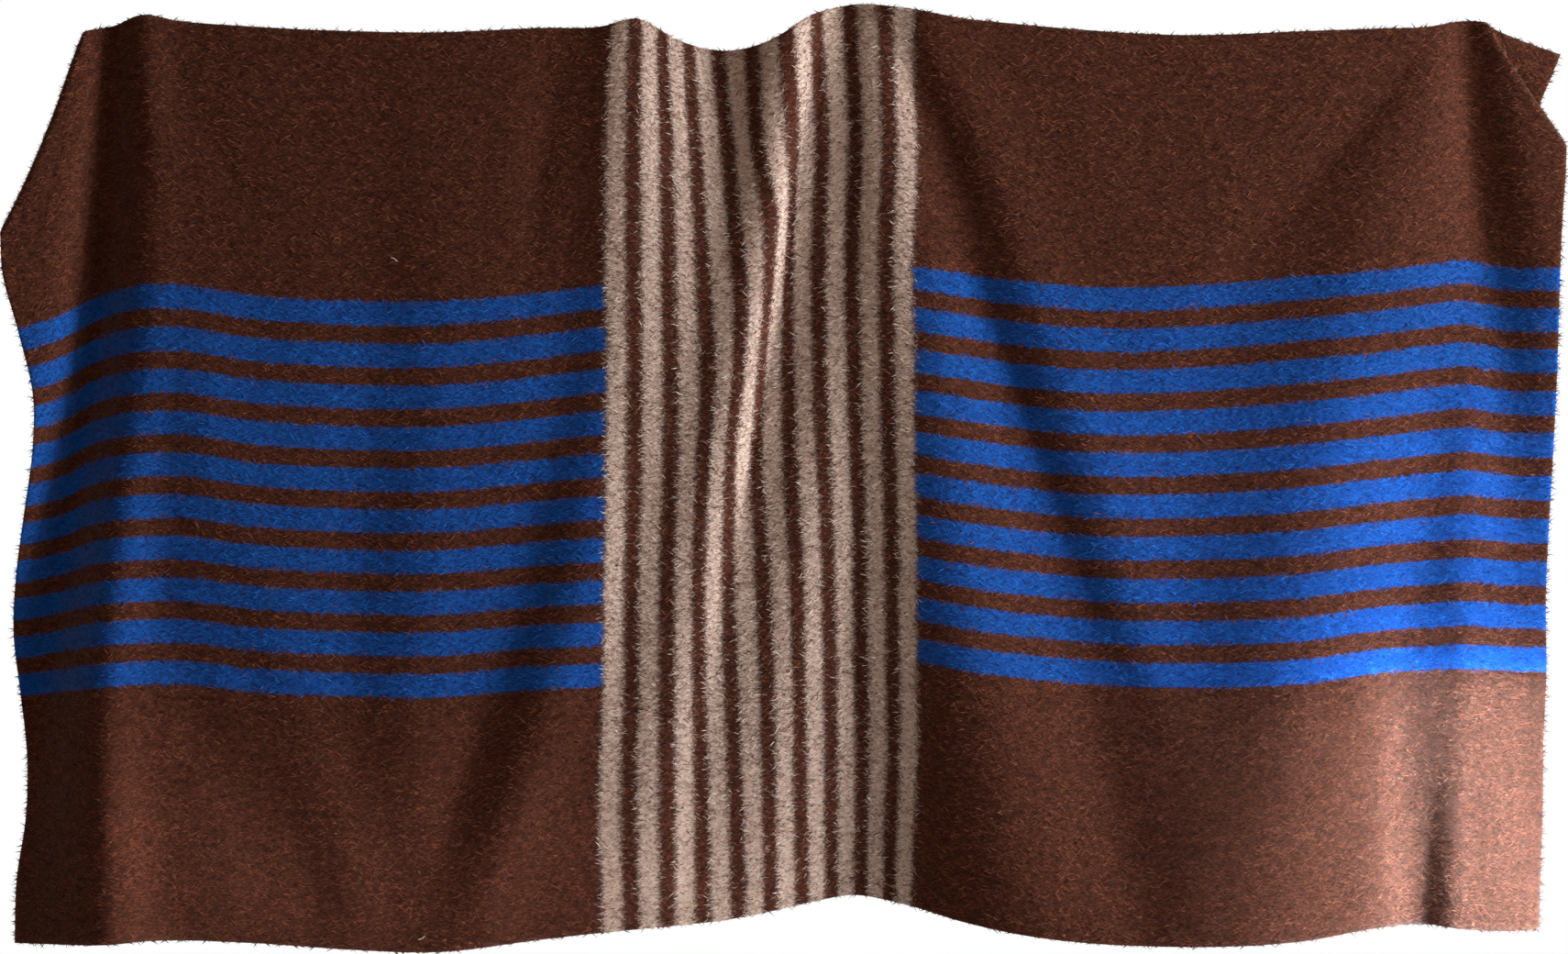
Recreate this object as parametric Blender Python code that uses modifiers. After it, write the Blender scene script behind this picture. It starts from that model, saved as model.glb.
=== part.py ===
"""A brushed wool blanket, woven in one piece, that hangs from its top edge.

The blanket is chocolate brown. Its two side panels have blue stripes across, and the band between
them has cream stripes down. It is one sheet, 3 mm thick with its nap. The script starts from the flat
cloth, folds its two top corners along their creases, and hangs it: each row of the cloth runs along
the folds with its own length, between the outer edges.

Units are metres. X runs to the right as seen from the front, Z is up, and the front faces -Y.
The origin is the middle of the top edge. Across means along X. Down means along the flat cloth,
from its top edge. A depth is positive where the cloth lies behind the plane in which it is held.
"""

import math
from collections import namedtuple

import bmesh
import bpy
import numpy as np
from mathutils import Vector

# The flat cloth
PANEL_WIDTH = 1.03
CREAM_STRIPES = 10
CREAM_STRIPE = 0.0335
CREAM_GAP = 0.0245
BAND_WIDTH = CREAM_STRIPES * CREAM_STRIPE + (CREAM_STRIPES - 1) * CREAM_GAP
WIDTH = 2 * PANEL_WIDTH + BAND_WIDTH
LENGTH = 1.40
THICKNESS = 0.003

# The four rows of the cloth whose hang is given below, by their distance down the flat cloth
TOP_ROW = 0.0
FIRST_STRIPE = 0.40
LAST_STRIPE = 1.01
HEM_ROW = LENGTH
ROWS = (TOP_ROW, FIRST_STRIPE, LAST_STRIPE, HEM_ROW)

# Where the cloth's upright edges and the band's borders hang, across, at each distance down
Edges = namedtuple("Edges", "down left band_left band_right right")
EDGES = (
    Edges(0.00, -1.263, -0.262, 0.199, 1.200),
    Edges(0.11, -1.221, -0.269, 0.199, 1.196),
    Edges(0.25, -1.193, -0.273, 0.203, 1.194),
    Edges(0.31, -1.190, -0.273, 0.199, 1.190),
    Edges(0.40, -1.168, -0.273, 0.197, 1.186),
    Edges(0.52, -1.145, -0.270, 0.199, 1.183),
    Edges(0.60, -1.148, -0.272, 0.199, 1.180),
    Edges(0.70, -1.162, -0.273, 0.200, 1.175),
    Edges(0.80, -1.176, -0.274, 0.202, 1.169),
    Edges(0.90, -1.183, -0.276, 0.203, 1.165),
    Edges(1.01, -1.175, -0.276, 0.203, 1.166),
    Edges(1.12, -1.166, -0.281, 0.204, 1.162),
    Edges(1.20, -1.168, -0.283, 0.202, 1.162),
    Edges(1.30, -1.183, -0.280, 0.197, 1.159),
    Edges(1.40, -1.186, -0.276, 0.195, 1.156),
)

# How high the top edge, the first blue stripe, the last one's foot and the hem hang, at each place across
Heights = namedtuple("Heights", "across top first last hem")
HEIGHTS = (
    Heights(-1.263, -0.052, -0.463, -1.014, -1.389),
    Heights(-1.186, -0.028, -0.448, -1.009, -1.389),
    Heights(-1.113, -0.006, -0.427, -1.001, -1.387),
    Heights(-1.064, 0.010, -0.399, -0.994, -1.385),
    Heights(-1.022, 0.020, -0.386, -0.990, -1.383),
    Heights(-0.979, 0.034, -0.378, -0.988, -1.379),
    Heights(-0.928, 0.026, -0.378, -0.987, -1.378),
    Heights(-0.813, 0.017, -0.393, -0.998, -1.382),
    Heights(-0.665, 0.010, -0.402, -1.005, -1.392),
    Heights(-0.539, 0.008, -0.403, -1.007, -1.396),
    Heights(-0.365, 0.015, -0.389, -0.994, -1.376),
    Heights(-0.276, 0.017, -0.378, -0.990, -1.366),
    Heights(-0.224, 0.028, -0.375, -0.986, -1.361),
    Heights(-0.161, -0.004, -0.385, -0.984, -1.355),
    Heights(-0.097, -0.018, -0.393, -0.983, -1.348),
    Heights(-0.020, -0.004, -0.384, -0.973, -1.334),
    Heights(0.049, 0.038, -0.358, -0.956, -1.319),
    Heights(0.105, 0.052, -0.346, -0.945, -1.310),
    Heights(0.168, 0.048, -0.347, -0.946, -1.319),
    Heights(0.276, 0.029, -0.361, -0.965, -1.348),
    Heights(0.353, 0.021, -0.371, -0.976, -1.364),
    Heights(0.468, 0.011, -0.381, -0.987, -1.378),
    Heights(0.609, 0.004, -0.379, -0.991, -1.383),
    Heights(0.797, 0.010, -0.365, -0.984, -1.375),
    Heights(0.909, 0.014, -0.356, -0.969, -1.358),
    Heights(0.984, 0.017, -0.346, -0.965, -1.354),
    Heights(1.043, 0.027, -0.340, -0.963, -1.361),
    Heights(1.099, 0.021, -0.349, -0.966, -1.364),
    Heights(1.200, 0.020, -0.351, -0.969, -1.364),
)

# The folds: where each one's middle lies across, its half width and its depth, at the four rows.
# The pleat's foot is steep on its left and gentle on its right, where its half width is another one
Fold = namedtuple("Fold", "name across half_width depth right_width", defaults=(None,))
FOLDS = (
    Fold("left margin", (-1.320, -1.320, -1.330, -1.340), (0.200, 0.180, 0.175, 0.210),
         (-0.055, -0.036, 0.080, 0.120)),
    Fold("valley under the first hold", (-1.026, -1.054, -1.140, -1.190), (0.028, 0.044, 0.056, 0.064),
         (0.022, 0.050, 0.046, 0.012)),
    Fold("crest beside it", (-0.973, -0.966, -1.036, -1.036), (0.028, 0.040, 0.048, 0.068),
         (-0.008, -0.008, -0.020, -0.032)),
    Fold("left swag's valley", (-0.990, -0.975, -0.905, -0.693), (0.050, 0.055, 0.060, 0.070),
         (0.0, 0.003, 0.007, 0.002)),
    Fold("left swag's crest", (-0.920, -0.900, -0.822, -0.610), (0.060, 0.065, 0.065, 0.070),
         (0.0, -0.004, -0.007, -0.002)),
    Fold("middle valley of the left panel", (-0.640, -0.630, -0.650, -0.650), (0.080, 0.075, 0.055, 0.050),
         (0.0, 0.004, 0.004, 0.0)),
    Fold("middle crest of the left panel", (-0.525, -0.520, -0.560, -0.567), (0.080, 0.075, 0.060, 0.050),
         (0.0, -0.004, -0.005, 0.0)),
    Fold("valley before the band", (-0.322, -0.333, -0.430, -0.574), (0.050, 0.050, 0.055, 0.070),
         (0.001, 0.004, 0.006, 0.002)),
    Fold("slanting crest before the band", (-0.252, -0.266, -0.350, -0.494), (0.045, 0.050, 0.065, 0.080),
         (-0.002, -0.004, -0.007, -0.004)),
    Fold("crest under the second hold", (-0.234, -0.234, -0.231, -0.231), (0.039, 0.056, 0.070, 0.070),
         (-0.010, -0.003, -0.001, -0.001)),
    Fold("valley in the band", (-0.095, -0.105, -0.238, -0.224), (0.056, 0.070, 0.056, 0.070),
         (0.026, 0.006, 0.002, 0.002)),
    Fold("pleat's crest", (0.004, -0.056, -0.182, -0.210), (0.042, 0.048, 0.065, 0.070),
         (-0.013, -0.008, -0.005, -0.002)),
    Fold("pleat's foot", (0.066, 0.004, -0.104, -0.135), (0.027, 0.027, 0.036, 0.056),
         (0.016, 0.025, 0.008, 0.002), (0.060, 0.080, 0.085, 0.080)),
    Fold("dent under the third hold", (0.098, 0.098, 0.094, 0.091), (0.026, 0.034, 0.045, 0.056),
         (0.007, 0.004, 0.002, 0.0)),
    Fold("crest by the band's right border", (0.150, 0.154, 0.182, 0.190), (0.026, 0.034, 0.045, 0.056),
         (-0.003, -0.003, 0.0, 0.0)),
    Fold("hollow in the band's right side", (0.126, 0.120, 0.100, 0.100), (0.070, 0.070, 0.085, 0.105),
         (0.002, 0.003, 0.012, 0.022)),
    Fold("crest past the band", (0.192, 0.220, 0.292, 0.390), (0.048, 0.060, 0.094, 0.165),
         (-0.003, -0.010, -0.028, -0.052)),
    Fold("right slanting valley", (0.150, 0.291, 0.470, 0.540), (0.050, 0.056, 0.060, 0.070),
         (0.008, 0.012, 0.008, 0.002)),
    Fold("crest beyond it", (0.224, 0.372, 0.556, 0.620), (0.050, 0.062, 0.070, 0.080),
         (-0.003, -0.009, -0.006, -0.002)),
    Fold("swag from the fourth hold", (0.987, 0.700, 0.623, 0.609), (0.050, 0.060, 0.080, 0.080),
         (0.002, 0.004, 0.0, 0.0)),
    Fold("right shoulder", (1.012, 0.875, 0.775, 0.693), (0.070, 0.085, 0.140, 0.168),
         (-0.002, -0.012, -0.034, -0.050)),
    Fold("right trough", (1.029, 1.029, 0.950, 0.962), (0.056, 0.056, 0.046, 0.044),
         (0.002, 0.008, 0.009, 0.019)),
    Fold("low crest by the right edge", (1.057, 1.057, 1.035, 1.022), (0.028, 0.028, 0.026, 0.026),
         (0.0, 0.0, -0.004, -0.008)),
    Fold("valley by the right edge", (1.043, 1.086, 1.125, 1.175), (0.036, 0.056, 0.050, 0.050),
         (0.018, 0.024, 0.008, 0.018)),
    Fold("right edge, turned back", (1.323, 1.323, 1.309, 1.309), (0.126, 0.126, 0.126, 0.126),
         (0.016, 0.016, 0.044, 0.066)),
)

# The left top corner is folded behind, along a line between these two distances from the corner
LEFT_CREASE_ALONG_TOP = 0.207
LEFT_CREASE_DOWN_SIDE = 0.252
LEFT_CREASE_RADIUS = 0.009
LEFT_CREASE_TURN = math.radians(166)

# The right top corner is folded behind and out again. The first crease ends at these two distances
# from the corner, and the second one starts from the same point of the top edge
RIGHT_CREASE_ALONG_TOP = 0.138
RIGHT_CREASE_DOWN_SIDE = 0.212
RIGHT_CREASE_ANGLE = math.radians(10)
RIGHT_CREASE_RADIUS = 0.0065

# How the solid's faces are shared out: (from, to, faces) along the flat cloth
Stretch = namedtuple("Stretch", "start end faces")
COLUMNS = (
    Stretch(0.0, 0.42, 15),
    Stretch(0.42, 0.95, 12),
    Stretch(0.95, 1.18, 8),
    Stretch(1.18, 1.42, 16),
    Stretch(1.42, 1.66, 8),
    Stretch(1.66, 2.28, 14),
    Stretch(2.28, WIDTH, 11),
)
LINES = (
    Stretch(0.0, 0.28, 10),
    Stretch(0.28, LENGTH, 20),
)
CREASE_STEPS = 3

# How finely the hanging rows are measured along their folds
ROW_STEP = 0.01
ROW_SAMPLES = 900
TABLE_STEP = 0.0025
TURN_SAMPLES = 200
CUT_TOLERANCE = 1e-5
SHORTEST_EDGE = 0.003


def clear_scene():
    for obj in list(bpy.data.objects):
        bpy.data.objects.remove(obj, do_unlink=True)


def smooth(place, places, values):
    """A smooth curve through the values: cubic pieces, whose slopes come from the steps on both sides."""
    places = np.asarray(places, float)
    values = np.asarray(values, float)
    step = np.diff(places)
    slope = np.diff(values) / step
    tangent = np.empty_like(values)
    tangent[1:-1] = (slope[:-1] * step[1:] + slope[1:] * step[:-1]) / (step[:-1] + step[1:])
    tangent[0] = slope[0]
    tangent[-1] = slope[-1]
    place = np.clip(place, places[0], places[-1])
    piece = np.clip(np.searchsorted(places, place, side="right") - 1, 0, len(step) - 1)
    width = step[piece]
    part = (place - places[piece]) / width
    rest = 1 - part
    ends = values[piece] * (1 + 2 * part) * rest**2 + values[piece + 1] * part**2 * (1 + 2 * rest)
    turns = tangent[piece] * part * rest**2 - tangent[piece + 1] * part**2 * rest
    return ends + width * turns


def column(table, name):
    return [getattr(row, name) for row in table]


def edge(name, down):
    """Where an upright edge or a border of the band hangs, across."""
    return smooth(down, column(EDGES, "down"), column(EDGES, name))


def between_rows(down, values):
    """The smooth run down the cloth between four values that differ from point to point."""
    weights = [smooth(down, ROWS, np.eye(len(ROWS))[index]) for index in range(len(ROWS))]
    return sum(weight * value for weight, value in zip(weights, values))


def height(across, down):
    places = column(HEIGHTS, "across")
    rows = [smooth(across, places, column(HEIGHTS, name)) for name in ("top", "first", "last", "hem")]
    return between_rows(down, rows)


def depth(across, down):
    total = np.zeros(np.broadcast(across, down).shape)
    for fold in FOLDS:
        middle = smooth(down, ROWS, fold.across)
        half_width = smooth(down, ROWS, fold.half_width)
        if fold.right_width:
            half_width = np.where(across > middle, smooth(down, ROWS, fold.right_width), half_width)
        total += smooth(down, ROWS, fold.depth) * np.exp(-(((across - middle) / half_width) ** 2))
    return total


def measured_rows():
    """For rows of the cloth at even steps down: the places across, and the cloth's own width up to each.

    The width that a row has along its folds is scaled to the flat cloth's, panel by panel.
    """
    down = np.linspace(0, LENGTH, round(LENGTH / ROW_STEP) + 1)[:, None]
    share = np.linspace(0, 1, ROW_SAMPLES)[None, :]
    across = edge("left", down) * (1 - share) + edge("right", down) * share
    steps = np.hypot(np.diff(across), np.diff(depth(across, down)))
    steps = np.hypot(steps, np.diff(height(across, down)))
    along = np.concatenate([np.zeros((len(down), 1)), np.cumsum(steps, axis=1)], axis=1)
    flat_marks = (0, PANEL_WIDTH, PANEL_WIDTH + BAND_WIDTH, WIDTH)
    flat = np.empty_like(along)
    for row in range(len(down)):
        borders = (edge("band_left", down[row]), edge("band_right", down[row]))
        marks = np.interp(np.concatenate(borders), across[row], along[row])
        marks = (0, marks[0], marks[1], along[row, -1])
        flat[row] = np.interp(along[row], marks, flat_marks)
    return across, flat


def across_table():
    """The place across of each point of an even grid on the flat cloth."""
    across, flat = measured_rows()
    even = np.linspace(0, WIDTH, round(WIDTH / TABLE_STEP) + 1)
    return np.array([np.interp(even, flat[row], across[row]) for row in range(len(flat))])


def hung(table, along, down):
    """The hanging places of points of the flat cloth, before its corners are folded."""
    row = np.clip(down / LENGTH, 0, 1) * (table.shape[0] - 1)
    col = np.clip(along / WIDTH, 0, 1) * (table.shape[1] - 1)
    low_row = np.minimum(row.astype(int), table.shape[0] - 2)
    low_col = np.minimum(col.astype(int), table.shape[1] - 2)
    row -= low_row
    col -= low_col
    upper = table[low_row, low_col] * (1 - col) + table[low_row, low_col + 1] * col
    lower = table[low_row + 1, low_col] * (1 - col) + table[low_row + 1, low_col + 1] * col
    across = upper * (1 - row) + lower * row
    return np.stack([across, depth(across, down), height(across, down)], axis=-1)


def left_crease():
    """A point on the left crease, the direction along it, and the one across it, towards the corner."""
    point = np.array([LEFT_CREASE_ALONG_TOP, 0.0])
    direction = np.array([-LEFT_CREASE_ALONG_TOP, LEFT_CREASE_DOWN_SIDE])
    direction /= np.linalg.norm(direction)
    outward = np.array([-direction[1], direction[0]])
    # the roll reaches one radius past its line, and the crease that shows is its outermost line
    return point - outward * LEFT_CREASE_RADIUS, direction, outward


def right_crease():
    point = np.array([WIDTH - RIGHT_CREASE_ALONG_TOP, 0.0])
    direction = np.array([RIGHT_CREASE_ALONG_TOP, RIGHT_CREASE_DOWN_SIDE])
    direction /= np.linalg.norm(direction)
    outward = np.array([direction[1], -direction[0]])
    return point, direction, outward


def fold_left_corner(flat, behind):
    """Rolls the left corner round its crease, so that it hangs behind the cloth, a little open."""
    point, _, outward = left_crease()
    past = (flat - point) @ outward
    radius = LEFT_CREASE_RADIUS
    angle = np.clip(past / radius, 0, LEFT_CREASE_TURN)
    run = np.clip(past - LEFT_CREASE_TURN * radius, 0, None)
    moved = np.where(past > 0, radius * np.sin(angle) + run * math.cos(LEFT_CREASE_TURN), past)
    flat += (moved - past)[:, None] * outward
    behind += radius * (1 - np.cos(angle)) + run * math.sin(LEFT_CREASE_TURN)


def fold_right_corner(flat, behind):
    """Folds the right corner behind and out again, so that it turns round one point of the top edge.

    The cloth turns back by an angle, runs on, and turns forward by the same angle. Near that point of
    the top edge there is too little cloth for a whole turn, so the angle is smaller there.
    """
    point, direction, outward = right_crease()
    from_point = flat - point
    reach = np.hypot(from_point[:, 0], from_point[:, 1])
    turn = np.arctan2(from_point @ outward, from_point @ direction)
    folded = (turn > 0) & (from_point[:, 0] > 0) & (reach > 0)
    reach, turn = reach[folded], turn[folded]
    radius = RIGHT_CREASE_RADIUS
    angles = np.linspace(0, math.pi, TURN_SAMPLES)
    angle = np.interp(reach * RIGHT_CREASE_ANGLE / radius, angles - np.sin(angles), angles)
    run = np.clip(reach * RIGHT_CREASE_ANGLE - math.pi * radius, 0, None)
    past = reach * turn
    first = np.clip(past / radius, 0, angle)
    between = np.clip(past - radius * angle, 0, run)
    second = np.clip((past - radius * angle - run) / radius, 0, angle)
    after = np.clip(past - 2 * radius * angle - run, 0, None)
    shift = radius * np.sin(first) + between * np.cos(angle) + after
    shift += radius * (np.sin(angle) - np.sin(angle - second))
    back = radius * (1 - np.cos(first)) + between * np.sin(angle)
    back += radius * (np.cos(angle - second) - np.cos(angle))
    turned = shift / reach
    flat[folded] = point + reach[:, None] * (
        np.cos(turned)[:, None] * direction + np.sin(turned)[:, None] * outward
    )
    behind[folded] += back


def hang(flat):
    """The places in which points of the flat cloth hang, corners folded."""
    flat = np.array(flat, float)
    behind = np.zeros(len(flat))
    fold_left_corner(flat, behind)
    fold_right_corner(flat, behind)
    places = hung(across_table(), flat[:, 0], flat[:, 1])
    places[:, 1] += behind
    return places


def marks(stretches):
    """The places of the faces' edges along a side that is shared out in stretches."""
    places = [0.0]
    for stretch in stretches:
        places += list(np.linspace(stretch.start, stretch.end, stretch.faces + 1)[1:])
    return np.array(places)


def split_along(mesh, point, outward):
    """Cuts the flat cloth's faces along a straight crease, on the corner's side only."""
    corner = Vector((point[0], point[1], 0.0))
    normal = Vector((outward[0], outward[1], 0.0))
    reach = max(LEFT_CREASE_DOWN_SIDE, RIGHT_CREASE_DOWN_SIDE) + LEFT_CREASE_ALONG_TOP
    near = [face for face in mesh.faces if (face.calc_center_median() - corner).length < reach]
    edges = {edge for face in near for edge in face.edges}
    verts = {vert for face in near for vert in face.verts}
    bmesh.ops.bisect_plane(mesh, geom=near + list(edges) + list(verts), dist=CUT_TOLERANCE,
                           plane_co=corner, plane_no=normal)


def flat_cloth():
    """The flat cloth as a grid of faces, finer where it folds, cut along its creases."""
    columns = marks(COLUMNS)
    lines = marks(LINES)
    mesh = bmesh.new()
    bmesh.ops.create_grid(mesh, x_segments=len(columns) - 1, y_segments=len(lines) - 1, size=0.5)
    for vert in mesh.verts:
        vert.co.x = columns[round((vert.co.x + 0.5) * (len(columns) - 1))]
        vert.co.y = lines[round((vert.co.y + 0.5) * (len(lines) - 1))]
    point, _, outward = left_crease()
    for step in np.linspace(0, math.pi * LEFT_CREASE_RADIUS, CREASE_STEPS + 1):
        split_along(mesh, point + outward * step, outward)
    point, direction, outward = right_crease()
    angle = RIGHT_CREASE_ANGLE
    second = outward * math.cos(angle) - direction * math.sin(angle)
    for across in (outward, second):
        for step in np.linspace(0, math.pi * RIGHT_CREASE_RADIUS, CREASE_STEPS + 1):
            split_along(mesh, point + across * step, across)
    bmesh.ops.remove_doubles(mesh, verts=mesh.verts, dist=SHORTEST_EDGE)
    bmesh.ops.triangulate(mesh, faces=mesh.faces)
    return mesh


def wool(name, colour, roughness):
    material = bpy.data.materials.new(name)
    material.use_nodes = True
    shader = material.node_tree.nodes["Principled BSDF"]
    shader.inputs["Base Color"].default_value = (*colour, 1.0)
    shader.inputs["Roughness"].default_value = roughness
    shader.inputs["Metallic"].default_value = 0.0
    material.diffuse_color = (*colour, 1.0)
    return material


def build_blanket(collection):
    mesh = flat_cloth()
    hanging = hang([(vert.co.x, vert.co.y) for vert in mesh.verts])
    for vert, place in zip(mesh.verts, hanging):
        vert.co = place
    data = bpy.data.meshes.new("blanket")
    mesh.to_mesh(data)
    mesh.free()
    data.shade_smooth()
    blanket = bpy.data.objects.new("blanket", data)
    collection.objects.link(blanket)
    solid = blanket.modifiers.new("thickness", "SOLIDIFY")
    solid.thickness = THICKNESS
    solid.offset = 0.0
    solid.use_even_offset = True
    data.materials.append(wool("brown_wool", (0.068, 0.027, 0.015), 0.95))
    return blanket


def main():
    clear_scene()
    collection = bpy.data.collections.new("hanging_striped_blanket")
    bpy.context.scene.collection.children.link(collection)
    build_blanket(collection)


main()
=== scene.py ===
"""The looks of a brushed wool blanket that hangs from its top edge.

The cloth is one thin sheet on the folds of its solid. A nap of raised wool covers both sides: its
fibres lie along the weft, so the upright stripes have feathered borders and the cross stripes have
crisp ones. The file is laid out as an add-on and is run as a script.

Units are metres. Across means along X, and down means along the flat cloth from its top edge. The
front faces -Y, and a depth is positive where the cloth lies behind the plane in which it is held.
"""

import math
from collections import namedtuple

import bmesh
import bpy
import numpy as np
from bpy.props import FloatProperty, FloatVectorProperty, PointerProperty
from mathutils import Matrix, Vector, noise


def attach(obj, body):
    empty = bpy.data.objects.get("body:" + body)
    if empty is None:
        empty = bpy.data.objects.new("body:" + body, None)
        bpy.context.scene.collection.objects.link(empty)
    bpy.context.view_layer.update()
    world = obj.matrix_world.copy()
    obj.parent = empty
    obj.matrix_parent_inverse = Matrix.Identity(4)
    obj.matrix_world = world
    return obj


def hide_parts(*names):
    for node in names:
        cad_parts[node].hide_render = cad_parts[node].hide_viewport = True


bl_info = {
    "name": "Striped Wool Blanket",
    "version": (1, 0, 0),
    "blender": (4, 5, 0),
    "location": "3D View > Sidebar > Blanket",
    "description": "Hangs a striped wool blanket and raises its nap",
    "category": "Object",
}

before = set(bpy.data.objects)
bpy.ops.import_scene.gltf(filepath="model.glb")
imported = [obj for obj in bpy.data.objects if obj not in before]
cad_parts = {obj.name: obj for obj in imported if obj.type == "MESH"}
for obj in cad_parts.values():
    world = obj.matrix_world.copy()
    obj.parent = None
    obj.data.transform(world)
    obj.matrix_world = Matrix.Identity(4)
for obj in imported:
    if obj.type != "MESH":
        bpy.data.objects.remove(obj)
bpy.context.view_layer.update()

BODY = "root"
SOLID = "blanket"

# The flat cloth
PANEL_WIDTH = 1.03
CREAM_STRIPES = 10
CREAM_STRIPE = 0.0335
CREAM_GAP = 0.0245
BAND_WIDTH = CREAM_STRIPES * CREAM_STRIPE + (CREAM_STRIPES - 1) * CREAM_GAP
WIDTH = 2 * PANEL_WIDTH + BAND_WIDTH
LENGTH = 1.40
THICKNESS = 0.003

# The four rows of the cloth whose hang is given below, by their distance down the flat cloth
TOP_ROW = 0.0
FIRST_STRIPE = 0.40
LAST_STRIPE = 1.01
HEM_ROW = LENGTH
ROWS = (TOP_ROW, FIRST_STRIPE, LAST_STRIPE, HEM_ROW)

# The cross stripes of the side panels
BLUE_STRIPES = 10
BLUE_STRIPE = 0.0358
BLUE_GAP = (LAST_STRIPE - FIRST_STRIPE - BLUE_STRIPES * BLUE_STRIPE) / (BLUE_STRIPES - 1)

# Where the cloth's upright edges and the band's borders hang, across, at each distance down
Edges = namedtuple("Edges", "down left band_left band_right right")
EDGES = (
    Edges(0.00, -1.263, -0.262, 0.199, 1.200),
    Edges(0.11, -1.221, -0.269, 0.199, 1.196),
    Edges(0.25, -1.193, -0.273, 0.203, 1.194),
    Edges(0.31, -1.190, -0.273, 0.199, 1.190),
    Edges(0.40, -1.168, -0.273, 0.197, 1.186),
    Edges(0.52, -1.145, -0.270, 0.199, 1.183),
    Edges(0.60, -1.148, -0.272, 0.199, 1.180),
    Edges(0.70, -1.162, -0.273, 0.200, 1.175),
    Edges(0.80, -1.176, -0.274, 0.202, 1.169),
    Edges(0.90, -1.183, -0.276, 0.203, 1.165),
    Edges(1.01, -1.175, -0.276, 0.203, 1.166),
    Edges(1.12, -1.166, -0.281, 0.204, 1.162),
    Edges(1.20, -1.168, -0.283, 0.202, 1.162),
    Edges(1.30, -1.183, -0.280, 0.197, 1.159),
    Edges(1.40, -1.186, -0.276, 0.195, 1.156),
)

# Where the left borders of five of the cream stripes hang, across: the stripes lean into the pleat
Borders = namedtuple("Borders", "down third fourth fifth sixth seventh")
BORDERS = (
    Borders(0.00, -0.178, -0.139, -0.092, -0.038, 0.014),
    Borders(0.17, -0.171, -0.126, -0.075, -0.030, 0.022),
    Borders(0.28, -0.167, -0.119, -0.065, -0.011, 0.017),
    Borders(0.40, -0.165, -0.110, -0.055, -0.019, 0.014),
    Borders(0.52, -0.162, -0.104, -0.061, -0.029, 0.015),
    Borders(0.66, -0.161, -0.113, -0.075, -0.033, 0.020),
    Borders(0.82, -0.166, -0.121, -0.076, -0.023, 0.028),
    Borders(1.01, -0.167, -0.120, -0.070, -0.015, 0.032),
    Borders(1.25, -0.166, -0.114, -0.061, -0.012, 0.036),
    Borders(1.40, -0.166, -0.112, -0.058, -0.010, 0.038),
)

# How high the top edge, the first blue stripe, the last one's foot and the hem hang, at each place across
Heights = namedtuple("Heights", "across top first last hem")
HEIGHTS = (
    Heights(-1.263, -0.052, -0.463, -1.014, -1.389),
    Heights(-1.186, -0.028, -0.448, -1.009, -1.389),
    Heights(-1.113, -0.006, -0.427, -1.001, -1.387),
    Heights(-1.064, 0.010, -0.399, -0.994, -1.385),
    Heights(-1.022, 0.020, -0.386, -0.990, -1.383),
    Heights(-0.979, 0.034, -0.378, -0.988, -1.379),
    Heights(-0.928, 0.026, -0.378, -0.987, -1.378),
    Heights(-0.813, 0.017, -0.393, -0.998, -1.382),
    Heights(-0.665, 0.010, -0.402, -1.005, -1.392),
    Heights(-0.539, 0.008, -0.403, -1.007, -1.396),
    Heights(-0.365, 0.015, -0.389, -0.994, -1.376),
    Heights(-0.276, 0.017, -0.378, -0.990, -1.366),
    Heights(-0.224, 0.028, -0.375, -0.986, -1.361),
    Heights(-0.161, -0.004, -0.385, -0.984, -1.355),
    Heights(-0.097, -0.018, -0.393, -0.983, -1.348),
    Heights(-0.020, -0.004, -0.384, -0.973, -1.334),
    Heights(0.049, 0.038, -0.358, -0.956, -1.319),
    Heights(0.105, 0.052, -0.346, -0.945, -1.310),
    Heights(0.168, 0.048, -0.347, -0.946, -1.319),
    Heights(0.276, 0.029, -0.361, -0.965, -1.348),
    Heights(0.353, 0.021, -0.371, -0.976, -1.364),
    Heights(0.468, 0.011, -0.381, -0.987, -1.378),
    Heights(0.609, 0.004, -0.379, -0.991, -1.383),
    Heights(0.797, 0.010, -0.365, -0.984, -1.375),
    Heights(0.909, 0.014, -0.356, -0.969, -1.358),
    Heights(0.984, 0.017, -0.346, -0.965, -1.354),
    Heights(1.043, 0.027, -0.340, -0.963, -1.361),
    Heights(1.099, 0.021, -0.349, -0.966, -1.364),
    Heights(1.200, 0.020, -0.351, -0.969, -1.364),
)

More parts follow.
